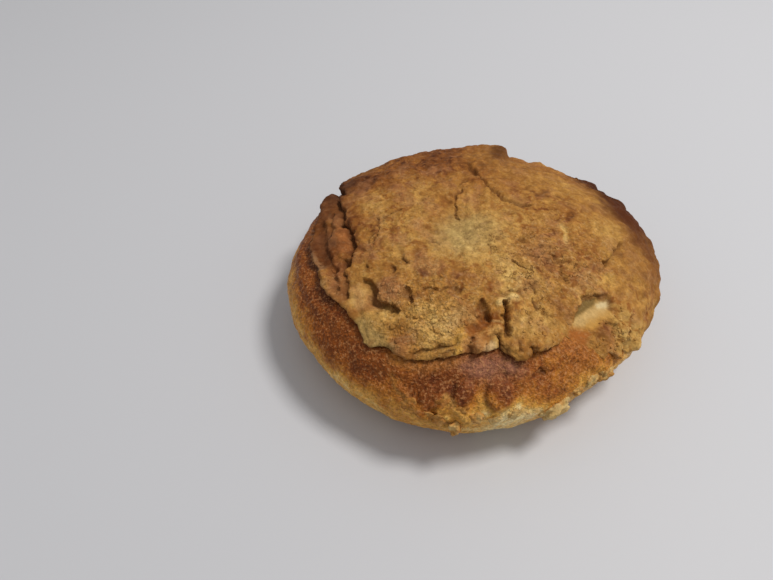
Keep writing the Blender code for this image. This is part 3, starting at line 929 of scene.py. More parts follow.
    tints: tuple[Tint, ...] = (
        # the pale crown, and rosy patches in front
        Tint(((-4, -4),), 9, "#A29262", 0.5),
        Tint(((-28, -24),), 4, "#9C6B4E", 0.4),
        Tint(((33, -20),), 5, "#976443", 0.4),
        Tint(((18, -14),), 7, "#A2734A", 0.4),
        Tint(((-8, -36),), 5, "#9A6B48", 0.4),
        # the front left corner
        Tint(((-34.5, -35.5), (-33, -39), (-29.5, -40.5)), 2.6, "#A98E56", 0.7),
        Tint(((-36, -23), (-35, -28)), 2.2, "#B98452", 0.6),
        # molten sugar, crumbs and fresh dough at the front rim
        Tint(((-4.4, -40.6), (1, -37.7), (3, -37.5)), 3.2, "#8C4E1A", 0.85),
        Tint(((-3.8, -44.4), (-3.3, -45.8)), 1.8, "#B98450", 0.6),
        # painted shadow in the crescent along the crumb's left and lower side
        Tint(((-5.6, -42.8), (-5.7, -44.4), (-5, -46.4), (-3.6, -47.6)), 0.8, "#62300F", 0.5),
        # pale gold on the sugar strand, partly a painted highlight
        Tint(((-0.6, -40.5), (0.4, -40.4), (2.6, -40.2)), 0.8, "#D6A35C", 0.8),
        Tint(((-0.4, -38.6), (1.6, -37.6), (3.2, -37.8)), 0.6, "#D9A968", 0.8),
        Tint(((0.8, -33.6), (2.6, -35.4), (3.4, -38)), 1.3, "#C69146", 0.6),
        Tint(((-1.4, -45.2), (-0.9, -44), (-0.3, -43.2)), 1.1, "#CDA877", 0.85),
        Tint(((-7.6, -40.6), (-8.8, -43.4), (-9.1, -46.4)), 1.3, "#C4923F", 0.7),
        Tint(((2.9, -32.6), (5.2, -30.9), (8.6, -30.4)), 1, "#CDA468", 0.6),
        # the flap
        Tint(((-43, -14), (-42, -24)), 3.5, "#925A38", 0.5),
        # a painted highlight along the lit lip of the flap
        Tint(((-53.5, 2), (-51.4, -5), (-48.4, -13)), 1, "#A98462", 0.45),
        Tint(((-43.4, 4), (-42.6, -1), (-42, -7)), 1.8, "#A9693A", 0.6),
        Tint(((-44.8, -16), (-44, -22)), 1.4, "#A87048", 0.4),
        Tint(((-49, 14), (-51, 26)), 6, "#5F3519", 0.65),
        Tint(((-50.5, 8), (-49.4, -1), (-47.4, -9)), 2.4, "#5E3319", 0.45),
        # the golden right flank and its burnt rim
        Tint(((40, -20),), 2.4, "#C79A50", 0.7),
        Tint(((12, 40), (38, 14), (50, -12)), 12, "#AF8440", 0.25),
        Tint(((47, 9), (49, 3)), 4.5, "#7E4C20", 0.55),
        Tint(((56, 46), (64, 28), (66, 14)), 13, "#5B3216", 0.8),
        Tint(((48, 40), (50, 27), (52, 15)), 8.5, "#431F0B", 0.95),
        Tint(((52, 15), (55, 6), (59, -1)), 7, "#55290F", 0.8),
        Tint(((59, 1), (61.5, -8)), 4, "#7A4B22", 0.5),
        # painted shade on the end of the lip, and the burnt rim at the back left
        Tint(((15.5, 53), (13, 46), (11.4, 41)), 3.4, "#532C12", 0.8),
        Tint(((-46, 26), (-43, 33)), 5, "#452614", 0.6),
        Tint(((-45, 36), (-37, 45), (-24, 52)), 4.5, "#6C3E1C", 0.5),
    )
    least_crumbly: float = 0.22
    window_smoothness: float = 0.85
    colour_tearing: Tearing = Tearing(1.5 * MM, 5 * MM)
    base_bake: float = 0.38
    speckles: Clouds = Clouds(1, 2.3 * MM, Seed.FRECKLE)
    speckle_peaks: tuple[float, float] = (0.35, 0.6)
    speckle_bake: float = 0.26
    least_speckled: float = 0.25
    patches: Clouds = Clouds(0.09, 9 * MM, Seed.STAIN)
    flecks: Clouds = Clouds(1, 2.2 * MM, Seed.FLECK)
    fleck_bake: float = 0.06
    fleck_shade: float = 0.14
    crumb_bake: float = 0.1                             # how much browner a crumb's top is than its foot
    rosiness: Clouds = Clouds(1, 6 * MM, Seed.GRIT, 4)
    most_rosy: float = 0.4
    hollow_shade: float = 0.2                            # painted shade in the hollows between crumbs
    cracked: tuple[Blot, ...] = (Blot(18, -20, 18, 0.5), Blot(46, -38, 12, -0.25))
    least_cracked: float = 0.35
    roughness: float = 0.78
    glazed: tuple[Blot, ...] = (Blot(1, -39, 5, -0.25),)
    grain: tuple[float, float] = (0.25, 0.75)           # where it is smooth, and more where it is crumbly
    grain_in_dark: tuple[float, float] = (0.1, 4.5)     # what burnt crust keeps, and more as it gets lighter
    rim_bake: Table = (
        (0, 0.2), (12, 0.4), (30, 0.6), (50, 0.5), (62, 0.3), (76, 0.35), (90, 0.3), (115, 0.3), (135, 0.4),
        (145, 0.35), (155, 0.15), (185, 0.1), (205, 0), (325, 0), (345, 0.2), (360, 0.2),
    )
    rim_bake_reach: float = 9 * MM
    streusel: BakeScale = BakeScale((
        (0.0, "#DDBC78"), (0.2, "#BF9450"), (0.4, "#A57336"), (0.6, "#875223"), (0.8, "#603316"),
        (1.0, "#3C1D0B")))
    rosy: str = "#A06E4B"
    # colour of the painted shade in grooves, cracks, hollows and creases
    crevice_shade: str = "#4C2810"
    finish: CrustFinish = CrustFinish(
        "baked_streusel", specular=0.12, sand=0.8 * MM, sand_contrast=0.3, freckle=1.7 * MM,
        freckle_contrast=0.2, bump=0.55 * MM, glint_size=1.1 * MM, glint=0.5, painted_glint_colour="#DDB784")

    def section(self, ring: Array, rim: Array) -> tuple[Array, Array]:
        """Lead the rings over the top, round the rim and back underneath.

        Args:
            ring: ring number of each point.
            rim: distance of the rim at its bearing.

        Returns:
            Distance of each point, and how much it belongs to the top: 1 there and 0 underneath.
        """
        top_rings, rim_rings, under_rings = self.rings
        rim_turn = np.clip((ring - top_rings) / rim_rings, 0, 1) * pi
        top_share = np.clip(ring / top_rings, 0, 1)
        under_share = np.clip((sum(self.rings) - ring) / under_rings, 0, 1)
        inner = np.minimum(top_share, under_share) * (rim - self.rim_round)
        return inner + self.rim_round * np.sin(rim_turn), (1 + np.cos(rim_turn)) / 2

    def underside(self, bearing: Array, distance: Array, rim: Array) -> Array:
        """Lay the slab on the dough, with its rim standing off where it overhangs.

        Args:
            bearing: bearing of each point in radians.
            distance: its distance from the top.
            rim: distance of the rim at its bearing.

        Returns:
            Height of the slab's underside over the dough's skin.
        """
        start, end = self.undercut_side
        ease_in, ease_out = self.undercut_ease
        degrees = np.degrees(bearing) % 360
        overhung = ramp(degrees, start, start + ease_in) * ramp(degrees, end, end - ease_out)
        return self.undercut * overhung * ramp(distance, rim - self.undercut_reach, rim) - self.sink

    def lift(self, places: Array, torn: Array, girth: Array, bearing: Array, rim: Array) -> Array:
        """Shape the slab's top.

        Args:
            places: flat place of each point.
            torn: the same places, as torn lines have them.
            girth: how much wider than usual a groove is there.
            bearing: bearing of each point in radians.
            rim: distance of the rim at its bearing.

        Returns:
            Height of the top over the dough's skin.
        """
        near_rim = ramp(np.linalg.norm(places, axis=1) / rim, *self.rim_from)
        thickness = round_the_bun(self.thickness, bearing) * MM
        lift = self.centre_thickness + (thickness - self.centre_thickness) * near_rim
        for terrace in (self.flap, self.lower_crust, self.window.opening):
            lift += (terrace.level * MM - lift) * terrace.share(torn)
        lift += sum_of(self.swellings, places) * MM + self.waves.over(places)
        for groove in self.grooves + self.cracks + self.streaks:
            lift -= groove.depth * MM * groove.share(torn, girth)
        return np.maximum(lift, self.least_thickness)

    def coarseness(self, places: Array, torn: Array) -> Array:
        """How crumbly the surface is: fine on the crown and back, coarse in front and on the flap."""
        crumbly = np.clip(self.least_crumbly + sum_of(self.crumbly, places), 0, 1)
        return crumbly * (1 - self.window_smoothness * self.window.smoothness(places, torn))

    def bake(self, places: Array, cloud: Array, bearing: Array, rim: Array) -> Array:
        """Brown the slab, apart from its crumbs and streaks.

        Args:
            places: flat place of each point.
            cloud: the same places, as ragged borders have them.
            bearing: bearing of each point in radians.
            rim: distance of the rim at its bearing.

        Returns:
            Degree of browning of each point.
        """
        bake = self.base_bake + sum_of(self.stains, cloud)
        speckled = np.clip(self.least_speckled + sum_of(self.speckled, places), 0, 1)
        bake += self.speckle_bake * ramp(self.speckles.over(cloud), *self.speckle_peaks) * speckled
        to_rim = ramp(np.linalg.norm(cloud, axis=1), rim - self.rim_bake_reach, rim)
        return bake + to_rim * round_the_bun(self.rim_bake, bearing)

    def colours(self, places: Array, torn: Array, girth: Array, coarse: Array, heap: Array,
                bearing: Array, rim: Array) -> Array:
        """Colour the slab.

        Args:
            places: flat place of each point.
            torn: the same places, as torn lines have them.
            girth: how much wider than usual a groove is there.
            coarse: how crumbly the surface is.
            heap: height of its crumbs, from 0 to 1.
            bearing: bearing of each point in radians.
            rim: distance of the rim at its bearing.

        Returns:
            Linear colour of each point.
        """
        cloud = self.colour_tearing.of(places)
        flecks = self.flecks.over(places)
        bake = self.bake(places, cloud, bearing, rim) + self.patches.over(places) + self.fleck_bake * flecks
        for streak in self.streaks:
            bake += streak.dark * streak.share(torn, girth)
        colours = self.streusel.colours(bake + self.crumb_bake * coarse * (heap - 0.5))
        colours = mixed(colours, self.rosy, self.most_rosy * smooth_step(self.rosiness.over(cloud)))
        for tint in self.tints:
            colours = mixed(colours, tint.code, tint.share(cloud))
        colours *= 1 - self.fleck_shade * flecks[:, None]
        colours = self.window.paint(places, torn, colours)
        # painted shade in the hollows between crumbs and in the grooves and cracks
        dark = self.hollow_shade * coarse * (1 - heap) ** 2
        for groove in self.grooves + self.cracks:
            dark = np.maximum(dark, groove.dark * groove.share(torn, girth))
        return mixed(colours, self.crevice_shade, dark)

    def make(self) -> bpy.types.Object:
        """Build the slab and put it in place of its solid.

        Returns:
            The object.
        """
        form, bearing, ring = sphere_to_mould(self.segments, sum(self.rings))
        rim = round_the_bun(self.edge, bearing) * MM
        rim += self.edge_wear.over(laid_flat(bearing, np.full(len(bearing), self.edge_middle)))
        distance, upper = self.section(ring, rim)
        places = laid_flat(bearing, np.minimum(distance, rim - self.rim_round))
        torn = self.tearing.of(places)
        girth = 1 + self.groove_wear.over(places)
        under = self.underside(bearing, distance, rim)
        lift = under + (self.lift(places, torn, girth, bearing, rim) - under) * upper
        move_points(form, self.skin.point(bearing, distance, lift))
        points = point_array(form)
        coarse = self.coarseness(places, torn)
        large, small, heap = self.heap.layers(points)
        large_height, small_height = self.crumb_height
        rise = coarse * (large_height * (large - self.crumb_foot) + small_height * (small - self.crumb_foot))
        smooth_mound, crumbly_mound = self.mound_share
        rise += (smooth_mound + crumbly_mound * coarse) * self.mounds.over(points)
        swell_points(form, rise * ramp(upper, 0, self.relief_from))
        colours = self.colours(places, torn, girth, coarse, heap, bearing, rim)
        cracked = (self.least_cracked + sum_of(self.cracked, places)) * (1 - self.window.opening.share(torn))
        smooth_grain, crumbly_grain = self.grain
        grain = np.clip(smooth_grain + crumbly_grain * coarse + sum_of(self.sandy, places), 0, 1)
        burnt_grain, light_grain = self.grain_in_dark
        grain *= np.clip(burnt_grain + light_grain * colours.mean(axis=1), 0, 1)
        piece = finished("streusel_crust_baked", form, self.finish, colours, coarse=grain, cracked=cracked,
                         rough=self.roughness + sum_of(self.glazed, places), crumbly=coarse)
        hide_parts("streusel_crust")
        return piece


@dataclass(frozen=True)
class BakedDough:
    """The bare dough: deep brown over the shoulder, golden towards its foot."""
    skin: Skin
    slab: StreuselSlab
    segments: int = 560
    rings: Path = ((0, 0), (6, 38), (124, 92), (134, 140))      # ring number and mm along the skin
    relief_start: float = 1.0 * MM                      # past the slab's rim
    relief_end: float = 90 * MM
    relief_ease: float = 5 * MM
    skirt: float = 1.1 * MM                             # how far the dough swells up against the slab's rim
    skirt_reach: float = 4.5 * MM
    waves: Clouds = Clouds(0.5 * MM, 14 * MM, Seed.WAVES, 2)
    groove_wear: Clouds = Clouds(0.4, 2.0 * MM, Seed.TORN)
    wrinkles: Clouds = Clouds(0.16 * MM, 2.4 * MM, Seed.MOUNDS)
    heap: Heap = Heap(4.2 * MM, 2.0 * MM, 0.6)
    crumb_height: float = 1.3 * MM
    crumb_foot: float = 0.4                             # share of a crumb that lies below the surface
    swellings: tuple[Blot, ...] = (
        Blot(1.9, -59.8, 4.2, 1.7, 6), Blot(-8.6, -58.6, 3.2, 1.3, 6), Blot(-18.6, -58.4, 2.8, 1.3, 4),
        Blot(-14.4, -57.6, 2.2, 1.1, 4), Blot(-14.6, -61.8, 2, 0.9, 4), Blot(-20.6, -62.6, 2.2, 0.9, 4),
        Blot(-24.6, -60.4, 2, 0.7, 4), Blot(10, -58, 3, 0.4), Blot(-8, -67, 3, 0.8, 4),
        Blot(5.5, -52.9, 1.5, 0.5, 5), Blot(8.6, -53.3, 1.5, 0.5, 5), Blot(-49, -47, 3, -0.6),
        Blot(-63, -10, 24, 1.1),
    )
    grooves: tuple[Groove, ...] = (
        Groove(((15.2, -53.9), (16.4, -54.8)), 0.9, 1, 0.8, 3),
        Groove(((15, -53), (17.6, -53.2), (18.6, -54.6)), 0.4, 0.3, 0.35),
        Groove(((-0.6, -56.6), (-2.3, -58.8), (-2.2, -61.6), (0.2, -63.8)), 0.6, 0.6, 0.6),
        Groove(((-10.6, -55.8), (-12, -58), (-11.6, -60.8)), 0.6, 0.6, 0.6),
        Groove(((3.8, -52), (4, -53.8), (7, -54.2), (7, -52.4), (10.2, -52.6),
               (9.8, -54.6)), 0.35, 0.3, 0.35),
        # the ridges of molten sugar and crumb below them
        Groove(((-27.6, -53.6), (-24.6, -57), (-22.4, -60.6), (-19.6, -64.6)), 0.8, -0.8, -0.1),
        Groove(((-12.4, -60.4), (-10.6, -63), (-8.2, -65.8)), 0.8, -0.9, -0.1),
        Groove(((-20.5, -66), (-16, -68.4), (-11.5, -69.4), (-7.5, -68.4)), 1.2, -1, -0.1),
        Groove(((-17.2, -60.4), (-15.2, -64), (-12.4, -66.6)), 0.7, -0.7, -0.1),
    )
    crumbly: tuple[Blot, ...] = (
        Blot(-16, -63, 9, 0.55), Blot(-5, -65, 6, 0.35), Blot(3, -58, 5, 0.2),
    )
    stains: tuple[Blot, ...] = (
        Blot(0.4, -60, 4.2, 0.2, 5), Blot(-8.8, -59, 3.2, 0.16), Blot(-14, -52.6, 6, 0.14),
        Blot(-17, -60, 6, 0.06), Blot(-47, -26, 8, 0.1), Blot(-4, -60, 3, -0.12), Blot(28, -48, 5, 0.08),
        Blot(-38, -46, 8, 0.08), Blot(30, -50, 8, -0.06),
    )
    tints: tuple[Tint, ...] = (
        # a painted mauve sheen on the front shoulder
        Tint(((-5, -50.5), (4, -52)), 3.8, "#9A6E5C", 0.5),
        Tint(((28, -45), (30, -51)), 5, "#A06024", 0.6),
        # painted light on the sugar right under the rim, and the golden ridges
        Tint(((-26, -46), (-18, -48.2), (-9.5, -49)), 2.6, "#AC7236", 0.45),
        # the shadow along the flap
        Tint(((-55.5, 3), (-52.6, -8), (-49.6, -16), (-45.4, -23.6)), 2.2, "#4A2410", 0.6),
        Tint(((-27.2, -54.6), (-24.6, -58), (-22.4, -61), (-19.6, -64.6)), 0.9, "#C08C42", 0.45),
        Tint(((-12.4, -60.4), (-10.6, -63), (-8.2, -65.8)), 1, "#CC9C50", 0.7),
        Tint(((-20.5, -66), (-16, -68.4), (-11.5, -69.4), (-7.5, -68.4)), 1.6, "#CC9C50", 0.7),
    )
    shoulder_bake: Table = (
        (0, 0.55), (180, 0.6), (200, 0.62), (219, 0.62), (231, 0.56), (243, 0.55), (255, 0.58), (267, 0.58),
        (279, 0.55), (291, 0.49), (303, 0.49), (320, 0.5), (360, 0.55))
    brown_until: Table = (                              # mm along the skin, the middle of the change
        (0, 66), (180, 63), (200, 62), (219, 64.5), (231, 66), (243, 66), (255, 64), (267, 61.5),
        (279, 63), (291, 67), (303, 63), (320, 64), (360, 66))
    # browning at the foot; paler at the front, partly painted light that stands for light thrown up onto it
    foot_bake: Table = (
        (0, 0.2), (180, 0.28), (207, 0.22), (219, 0.2), (236, 0.18), (248, 0.26), (264, 0.22), (270, 0.08),
        (279, 0.07), (291, 0.2), (303, 0.16), (320, 0.2), (360, 0.2))
    half_fade: float = 4.5 * MM                         # half the width of the change
    colour_tearing: Tearing = Tearing(2.0 * MM, 8 * MM)
    patches: Clouds = Clouds(0.07, 6 * MM, Seed.STAIN)
    flecks: Clouds = Clouds(0.08, 1.6 * MM, Seed.FLECK)
    crumb_bake: float = 0.15                            # how much paler a crumb's top is than its foot, partly painted light on tops and shade in hollows
    rim_shadow: float = 0.6 * MM                            # width of the painted shadow line right under the slab's rim
    # how dark that painted shadow is round the bun
    rim_shadow_dark: Table = (
        (0, 0.5), (190, 0.7), (262, 0.7), (266, 0.3), (272, 0.5), (290, 0.7), (296, 0), (325, 0), (360, 0.5))
    grain: tuple[float, float] = (0.9, -0.2)            # on bare dough, and more where it is crumbly
    roughness: tuple[float, float] = (0.5, 0.15)        # likewise
    dough_scale: BakeScale = BakeScale((
        (0.0, "#F0D89C"), (0.2, "#D69F48"), (0.4, "#B07028"), (0.6, "#864817"), (0.8, "#66300D"),
        (1.0, "#451D0A")))
    finish: CrustFinish = CrustFinish(
        "soft_baked_dough", specular=0.16, sand=0.7 * MM, sand_contrast=0.3, freckle=1.8 * MM,
        freckle_contrast=0.25, bump=0.45 * MM, glint_size=0.9 * MM, glint=0.8, painted_glint_colour="#C88F5C")

    def colours(self, places: Array, bearing: Array, heap: Array, crumbly: Array, girth: Array) -> Array:
        """Colour the dough.

        Args:
            places: flat place of each point.
            bearing: its bearing in radians.
            heap: height of its crumbs, from 0 to 1.
            crumbly: how crumbly the surface is.
            girth: how much wider than usual a groove is there.

        Returns:
            Linear colour of each point.
        """
        torn = self.colour_tearing.of(places)
        change = round_the_bun(self.brown_until, bearing) * MM
        fade = ramp(np.linalg.norm(torn, axis=1), change - self.half_fade, change + self.half_fade)
        shoulder = round_the_bun(self.shoulder_bake, bearing)
        bake = shoulder + (round_the_bun(self.foot_bake, bearing) - shoulder) * fade
        bake += sum_of(self.stains, torn) + self.patches.over(places) + self.flecks.over(places)
        colours = self.dough_scale.colours(bake + self.crumb_bake * crumbly * (0.5 - heap))
        for tint in self.tints:
            colours = mixed(colours, tint.code, tint.share(torn))
        # painted shade in the dough's grooves, such as the dark crescents beside the mounds
        for groove in self.grooves:
            colours = mixed(colours, self.slab.crevice_shade, groove.dark * groove.share(places, girth))
        # the painted shadow line just under the slab's rim
        off_rim = np.linalg.norm(places, axis=1) - round_the_bun(self.slab.edge, bearing) * MM
        rim_shadow = round_the_bun(self.rim_shadow_dark, bearing) * np.exp(-(off_rim / self.rim_shadow) ** 2)
        return mixed(colours, self.slab.crevice_shade, rim_shadow)

    def relief(self, places: Array, distance: Array, rim: Array, girth: Array) -> Array:
        """Shape what the slab leaves bare.

        Args:
            places: flat place of each point.
            distance: its distance from the top.
            rim: distance of the slab's rim at its bearing.
            girth: how much wider than usual a groove is there.

        Returns:
            Height of the dough over its skin.
        """
        relief = sum_of(self.swellings, places) * MM + self.waves.over(places)
        for groove in self.grooves:
            relief -= groove.depth * MM * groove.share(places, girth)
        start = rim + self.relief_start
        skirt = ramp(distance, rim - self.skirt_reach, rim)
        skirt *= ramp(distance, rim + 2 * self.skirt_reach, rim + self.skirt_reach)
        return relief * ramp(distance, start, start + self.relief_ease) + self.skirt * skirt

    def make(self) -> bpy.types.Object:
        """Build the dough and put it in place of its solid.

        Returns:
            The object.
        """
        numbers, distances = np.array(self.rings, dtype=float).T
        last = int(numbers[-1])
        form, bearing, ring = sphere_to_mould(self.segments, last)
        whole = self.skin.meridian()[0][-1]
        distance = np.minimum(np.interp(ring, numbers, distances * MM), whole)
        distance = np.where(ring > last - 0.5, whole, distance)
        places = laid_flat(bearing, distance)
        girth = 1 + self.groove_wear.over(places)
        off_foot = ramp(distance, self.relief_end, self.relief_end - self.relief_ease)
        relief = self.relief(places, distance, round_the_bun(self.slab.edge, bearing) * MM, girth)
        move_points(form, self.skin.point(bearing, distance, relief * off_foot))
        points = point_array(form)
        crumbly = np.clip(sum_of(self.crumbly, places), 0, 1)
        heap = self.heap.layers(points)[-1]
        rise = self.crumb_height * crumbly * (heap - self.crumb_foot) + self.wrinkles.over(points)
        swell_points(form, rise * off_foot)
        bare_grain, crumb_grain = self.grain
        bare_rough, crumb_rough = self.roughness
        piece = finished("bun_body_baked", form, self.finish,
                         self.colours(places, bearing, heap, crumbly, girth),
                         coarse=bare_grain + crumb_grain * crumbly, cracked=0.0,
                         rough=bare_rough + crumb_rough * crumbly)
        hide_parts("bun_body")
        return piece


@dataclass(frozen=True)
class StrewnGrains:
    """Small flat crumbs that lie sunk in a crust, thickest where it is crumbly."""
    finish: CrustFinish
    number: int = 240
    usual_girth: float = 0.9 * MM
    largest_girth: float = 1.9 * MM
    girth_spread: float = 0.35            # of the girth's logarithm
    stretch: tuple[float, float] = (0.75, 1.25)
    flatness: float = 0.5
    sink: float = 0.5
    shades: tuple[float, float] = (0.95, 1.2)
    bare_below: float = 0.3               # crumbliness under which there are none
    least_upright: float = 0.05           # of a face that grains stay on
    shapes: int = 6
    facets: tuple[int, int] = (6, 5)      # round a grain and from its top to its bottom
    unevenness: float = 0.5
    dents: float = 2.5                    # how many go across a grain
    grain: float = 0.6
    roughness: float = 0.78
    seed: int = 3

    def lump(self, index: int) -> tuple[Array, Array]:
        """Model one uneven grain.

        Args:
            index: which of the shapes.

        Returns:
            Its points, a unit across, and its faces.
        """
        form = bmesh.new()
        around, down = self.facets
        bmesh.ops.create_uvsphere(form, u_segments=around, v_segments=down, radius=0.5)
        bmesh.ops.triangulate(form, faces=form.faces)
        for vert in form.verts:
            spot = vert.co * self.dents + Vector((index, self.seed, 0))
            vert.co *= 1 + self.unevenness * noise.noise(spot)
        points = point_array(form)
        faces = np.array([[corner.index for corner in face.verts] for face in form.faces])
        form.free()
        return points, faces

    def ground_faces(self, mesh: bpy.types.Mesh) -> tuple[Array, Array, Array, Array]:
        """Read the faces that the grains may lie on.

        Args:
            mesh: the ground.

        Returns:
            Area, centre, normal and first corner of each face.
        """
        count = len(mesh.polygons)
        area, first = np.zeros(count), np.zeros(count, dtype=np.int32)
        centre, normal = np.zeros(count * 3), np.zeros(count * 3)
        corners = np.zeros(len(mesh.loops), dtype=np.int32)
        mesh.polygons.foreach_get("area", area)
        mesh.polygons.foreach_get("loop_start", first)
        mesh.polygons.foreach_get("center", centre)
        mesh.polygons.foreach_get("normal", normal)
        mesh.loops.foreach_get("vertex_index", corners)
        return area, centre.reshape(-1, 3), normal.reshape(-1, 3), corners[first]

    def joined(self, sizes: Array, frames: Array, places: Array) -> tuple[Array, Array, Array]:
        """Put a lump at each place and join them.

        Args:
            sizes: length, width and height of each grain.
            frames: the directions that these lie in.
            places: middle of each grain.

        Returns:
            Points and faces of them all, and the number of the grain that each point is of.
        """
        points, faces, owners, total = [], [], [], 0
        for index in range(self.shapes):
            unit, sides = self.lump(index)
            mine = np.arange(index, self.number, self.shapes)
            placed = np.einsum("pj,gj,gjk->gpk", unit, sizes[mine], frames[mine]) + places[mine, None]
            starts = total + len(unit) * np.arange(len(mine))
            points.append(placed.reshape(-1, 3))
            faces.append((sides[None] + starts[:, None, None]).reshape(-1, 3))
            owners.append(np.repeat(mine, len(unit)))
            total += len(unit) * len(mine)
        return np.concatenate(points), np.concatenate(faces), np.concatenate(owners)

    def make(self, ground: bpy.types.Object) -> bpy.types.Object:
        """Strew the grains over a piece, in its colours.

        Args:
            ground: the piece.

        Returns:
            All the grains as one object.
        """
        mesh = ground.data
        area, centre, normal, corner = self.ground_faces(mesh)
        crumbly, baked = np.zeros(len(mesh.vertices)), np.zeros(len(mesh.vertices) * 4)
        mesh.attributes["crumbly"].data.foreach_get("value", crumbly)
        mesh.attributes["baked"].data.foreach_get("color", baked)
        chance = area * np.clip(crumbly[corner] - self.bare_below, 0, 1)
        chance *= normal[:, 2] > self.least_upright
        draw = np.random.default_rng(self.seed)
        picked = draw.choice(len(area), self.number, replace=False, p=chance / chance.sum())
        spread = np.exp(self.girth_spread * draw.standard_normal(self.number))
        girth = np.minimum(self.usual_girth * spread, self.largest_girth)
        sizes = girth[:, None] * draw.uniform(*self.stretch, (self.number, 3)) * (1, 1, self.flatness)
        up = normal[picked]
        across = np.cross(up, draw.standard_normal((self.number, 3)))
        across /= np.linalg.norm(across, axis=1)[:, None]
        frames = np.stack([across, np.cross(up, across), up], axis=1)
        places = centre[picked] + up * (sizes[:, 2:] * (0.5 - self.sink))
        points, faces, owners = self.joined(sizes, frames, places)
        colours = baked.reshape(-1, 4)[corner[picked], :3] * draw.uniform(*self.shades, (self.number, 1))
        joined = bpy.data.meshes.new("streusel_grains")
        joined.from_pydata(points.tolist(), [], faces.tolist())
        piece = dressed("streusel_grains", joined, self.finish, colours[owners],
                        coarse=self.grain, cracked=0.0, rough=self.roughness)
        return piece


@dataclass(frozen=True)
class BakedCrumbs:
    """Crumbs of streusel that have baked onto the flank."""
    skin: Skin
    finish: CrustFinish
    sink: float = 0.3
    fineness: int = 4
    lumps: tuple[tuple[float, float, float], ...] = ((0.6, 3, 0), (0.12, 8, 5))     # height, number and seed
    patches: Clouds = Clouds(0.12, 2 * MM, Seed.STAIN)
    grain: float = 0.6
    roughness: float = 0.65
    turn_step: float = 0.01               # radians and metres over which the skin's lie is measured
    down_step: float = 0.5 * MM
    scale: BakeScale = BakeScale((
        (0.0, "#D2B882"), (0.15, "#BFA066"), (0.3, "#B58444"), (0.45, "#A06A2C"), (0.7, "#7A4318")))
    # place on the skin, then length, width and height, in mm, and browning
    crumbs: tuple[tuple[float, float, float, float, float, float], ...] = (
        (-24, -60, 4.6, 3.6, 1.6, 0.44), (-20.5, -63.5, 5, 3.6, 2, 0.38), (-16.5, -65.5, 5, 4.4, 2.2, 0.34),
        (-11.5, -68.6, 4, 4.6, 4.2, 0.28), (-15.5, -60, 4.6, 3.8, 1.6, 0.46),
        (-9.5, -63, 4.2, 3.2, 1.6, 0.4),
        (-5, -66, 4.4, 3.4, 1.8, 0.3), (1, -67.5, 3.6, 3, 1.2, 0.2), (7, -66.5, 3.4, 3, 1.2, 0.16),
        (23, -66.5, 10, 6, 4.4, 0.12), (36, -56, 4.6, 3.6, 2.4, 0.2), (42, -52.5, 6, 4.6, 3.6, 0.25),
        (31, -60, 3.6, 3, 2, 0.25), (-52, 60, 4, 3.2, 2.2, 0.3), (-72, 16, 4.4, 3.4, 2.4, 0.3),
        (8, 79, 4.6, 3.6, 2.6, 0.3),
    )

    def stand(self, x: float, y: float, size: Vector) -> Matrix:
        """Stand a crumb on the skin, its foot sunk in it and its top outwards.

        Args:
            x: flat place.
            y: flat place.
            size: length, width and height.

        Returns:
            What moves a crumb that is a unit across there.
        """
        bearing, distance = np.arctan2(y, x), np.hypot(x, y)
        base = Vector(self.skin.point(bearing, distance, 0.0))
        east = Vector(self.skin.point(bearing + self.turn_step, distance, 0.0)) - base
        down = Vector(self.skin.point(bearing, distance + self.down_step, 0.0)) - base
        outward = down.cross(east).normalized()
        turn = Matrix((east.normalized(), outward.cross(east).normalized(), outward)).transposed().to_4x4()
        centre = base + outward * size.z * (0.5 - self.sink)
        return Matrix.Translation(centre) @ turn @ Matrix.Diagonal((*size, 1))

    def make(self) -> bpy.types.Object:
        """Build all the crumbs as one piece.

        Returns:
            The object.
        """
        form, bake = bmesh.new(), []
        for index, (x, y, *size, browning) in enumerate(self.crumbs):
            crumb = bmesh.ops.create_icosphere(form, subdivisions=self.fineness, radius=0.5)["verts"]
            place = self.stand(x * MM, y * MM, Vector(size) * MM)
            for vert in crumb:
                for height, number, seed in self.lumps:
                    vert.co *= 1 + height * noise.noise(vert.co * number + Vector((index, seed, 0)))
                vert.co = place @ vert.co
            bake += [browning] * len(crumb)
        form.normal_update()
        bake = np.array(bake) + self.patches.over(point_array(form))
        piece = finished("baked_crumbs", form, self.finish, self.scale.colours(bake),
                         coarse=self.grain, cracked=0.0, rough=self.roughness)
        return piece


# ---------------------------------------------------------------- studio

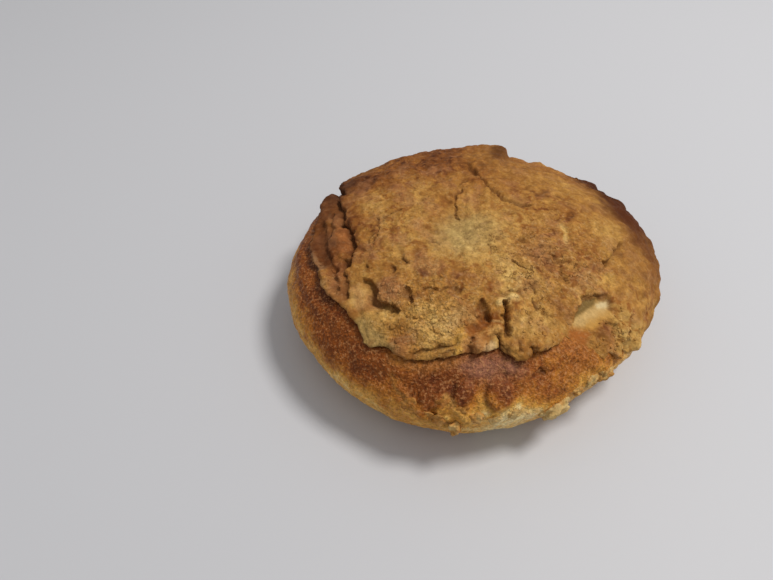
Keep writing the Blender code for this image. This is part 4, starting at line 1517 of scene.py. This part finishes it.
@dataclass(frozen=True)
class Studio:
    """A plain pale table, soft daylight from high on the right and a camera over the front."""
    table_size: float = 6.0
    table: TableFinish = TableFinish()
    sky: str = "#F4F3F1"
    sky_strength: float = 0.46
    key_direction: tuple[float, float, float] = (0.52, 0.12, 1.0)
    key_distance: float = 1.2
    key_size: float = 0.36
    key_power: float = 9.6
    key_colour: str = "#FFFAF2"
    aim: tuple[float, float, float] = (-31.6 * MM, 5.9 * MM, 0.0)
    camera_distance: float = 231.8 * MM
    camera_elevation: float = radians(47.39)
    camera_roll: float = radians(0.17)
    lens: float = 27.94
    sensor_width: float = 36.0
    nearest_seen: float = 0.01

    def lay_table(self) -> None:
        """The surface that the bun stands on."""
        form = bmesh.new()
        bmesh.ops.create_grid(form, x_segments=1, y_segments=1, size=self.table_size / 2)
        mesh = bpy.data.meshes.new("table_top")
        form.to_mesh(mesh)
        form.free()
        mesh.materials.append(self.table.material())
        top = bpy.data.objects.new("table_top", mesh)
        bpy.context.scene.collection.objects.link(top)

    def light(self) -> None:
        """Bright even surroundings and one large soft lamp."""
        scene = bpy.context.scene
        scene.world = bpy.data.worlds.new("pale_room")
        scene.world.use_nodes = True
        background = scene.world.node_tree.nodes["Background"]
        background.inputs["Color"].default_value = (*linear_colour(self.sky), 1)
        background.inputs["Strength"].default_value = self.sky_strength
        lamp = bpy.data.lights.new("window_light", "AREA")
        lamp.shape = "DISK"
        lamp.size = self.key_size
        lamp.energy = self.key_power
        lamp.color = linear_colour(self.key_colour)
        holder = bpy.data.objects.new("window_light", lamp)
        direction = Vector(self.key_direction).normalized()
        holder.location = direction * self.key_distance
        holder.rotation_euler = direction.to_track_quat("Z", "Y").to_euler()
        scene.collection.objects.link(holder)
        scene.view_settings.view_transform = "Standard"

    def set_camera(self) -> None:
        """Look down at the table from the front."""
        scene = bpy.context.scene
        lens = bpy.data.cameras.new("camera")
        lens.lens = self.lens
        lens.sensor_width = self.sensor_width
        lens.clip_start = self.nearest_seen
        camera = bpy.data.objects.new("camera", lens)
        back = Vector((0, -np.cos(self.camera_elevation), np.sin(self.camera_elevation)))
        camera.location = Vector(self.aim) + back * self.camera_distance
        camera.rotation_euler = (pi / 2 - self.camera_elevation, self.camera_roll, 0)
        scene.collection.objects.link(camera)
        scene.camera = camera


def main() -> None:
    """Build every piece in order."""
    logging.basicConfig(level=logging.INFO, format="%(message)s")
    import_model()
    studio = Studio()
    studio.set_camera()
    skin = Skin()
    slab = StreuselSlab(skin)
    crust = slab.make()
    dough = BakedDough(skin, slab)
    dough.make()
    BakedCrumbs(skin, dough.finish).make()
    StrewnGrains(slab.finish).make(crust)
    studio.lay_table()
    studio.light()


if __name__ == "__main__":
    main()
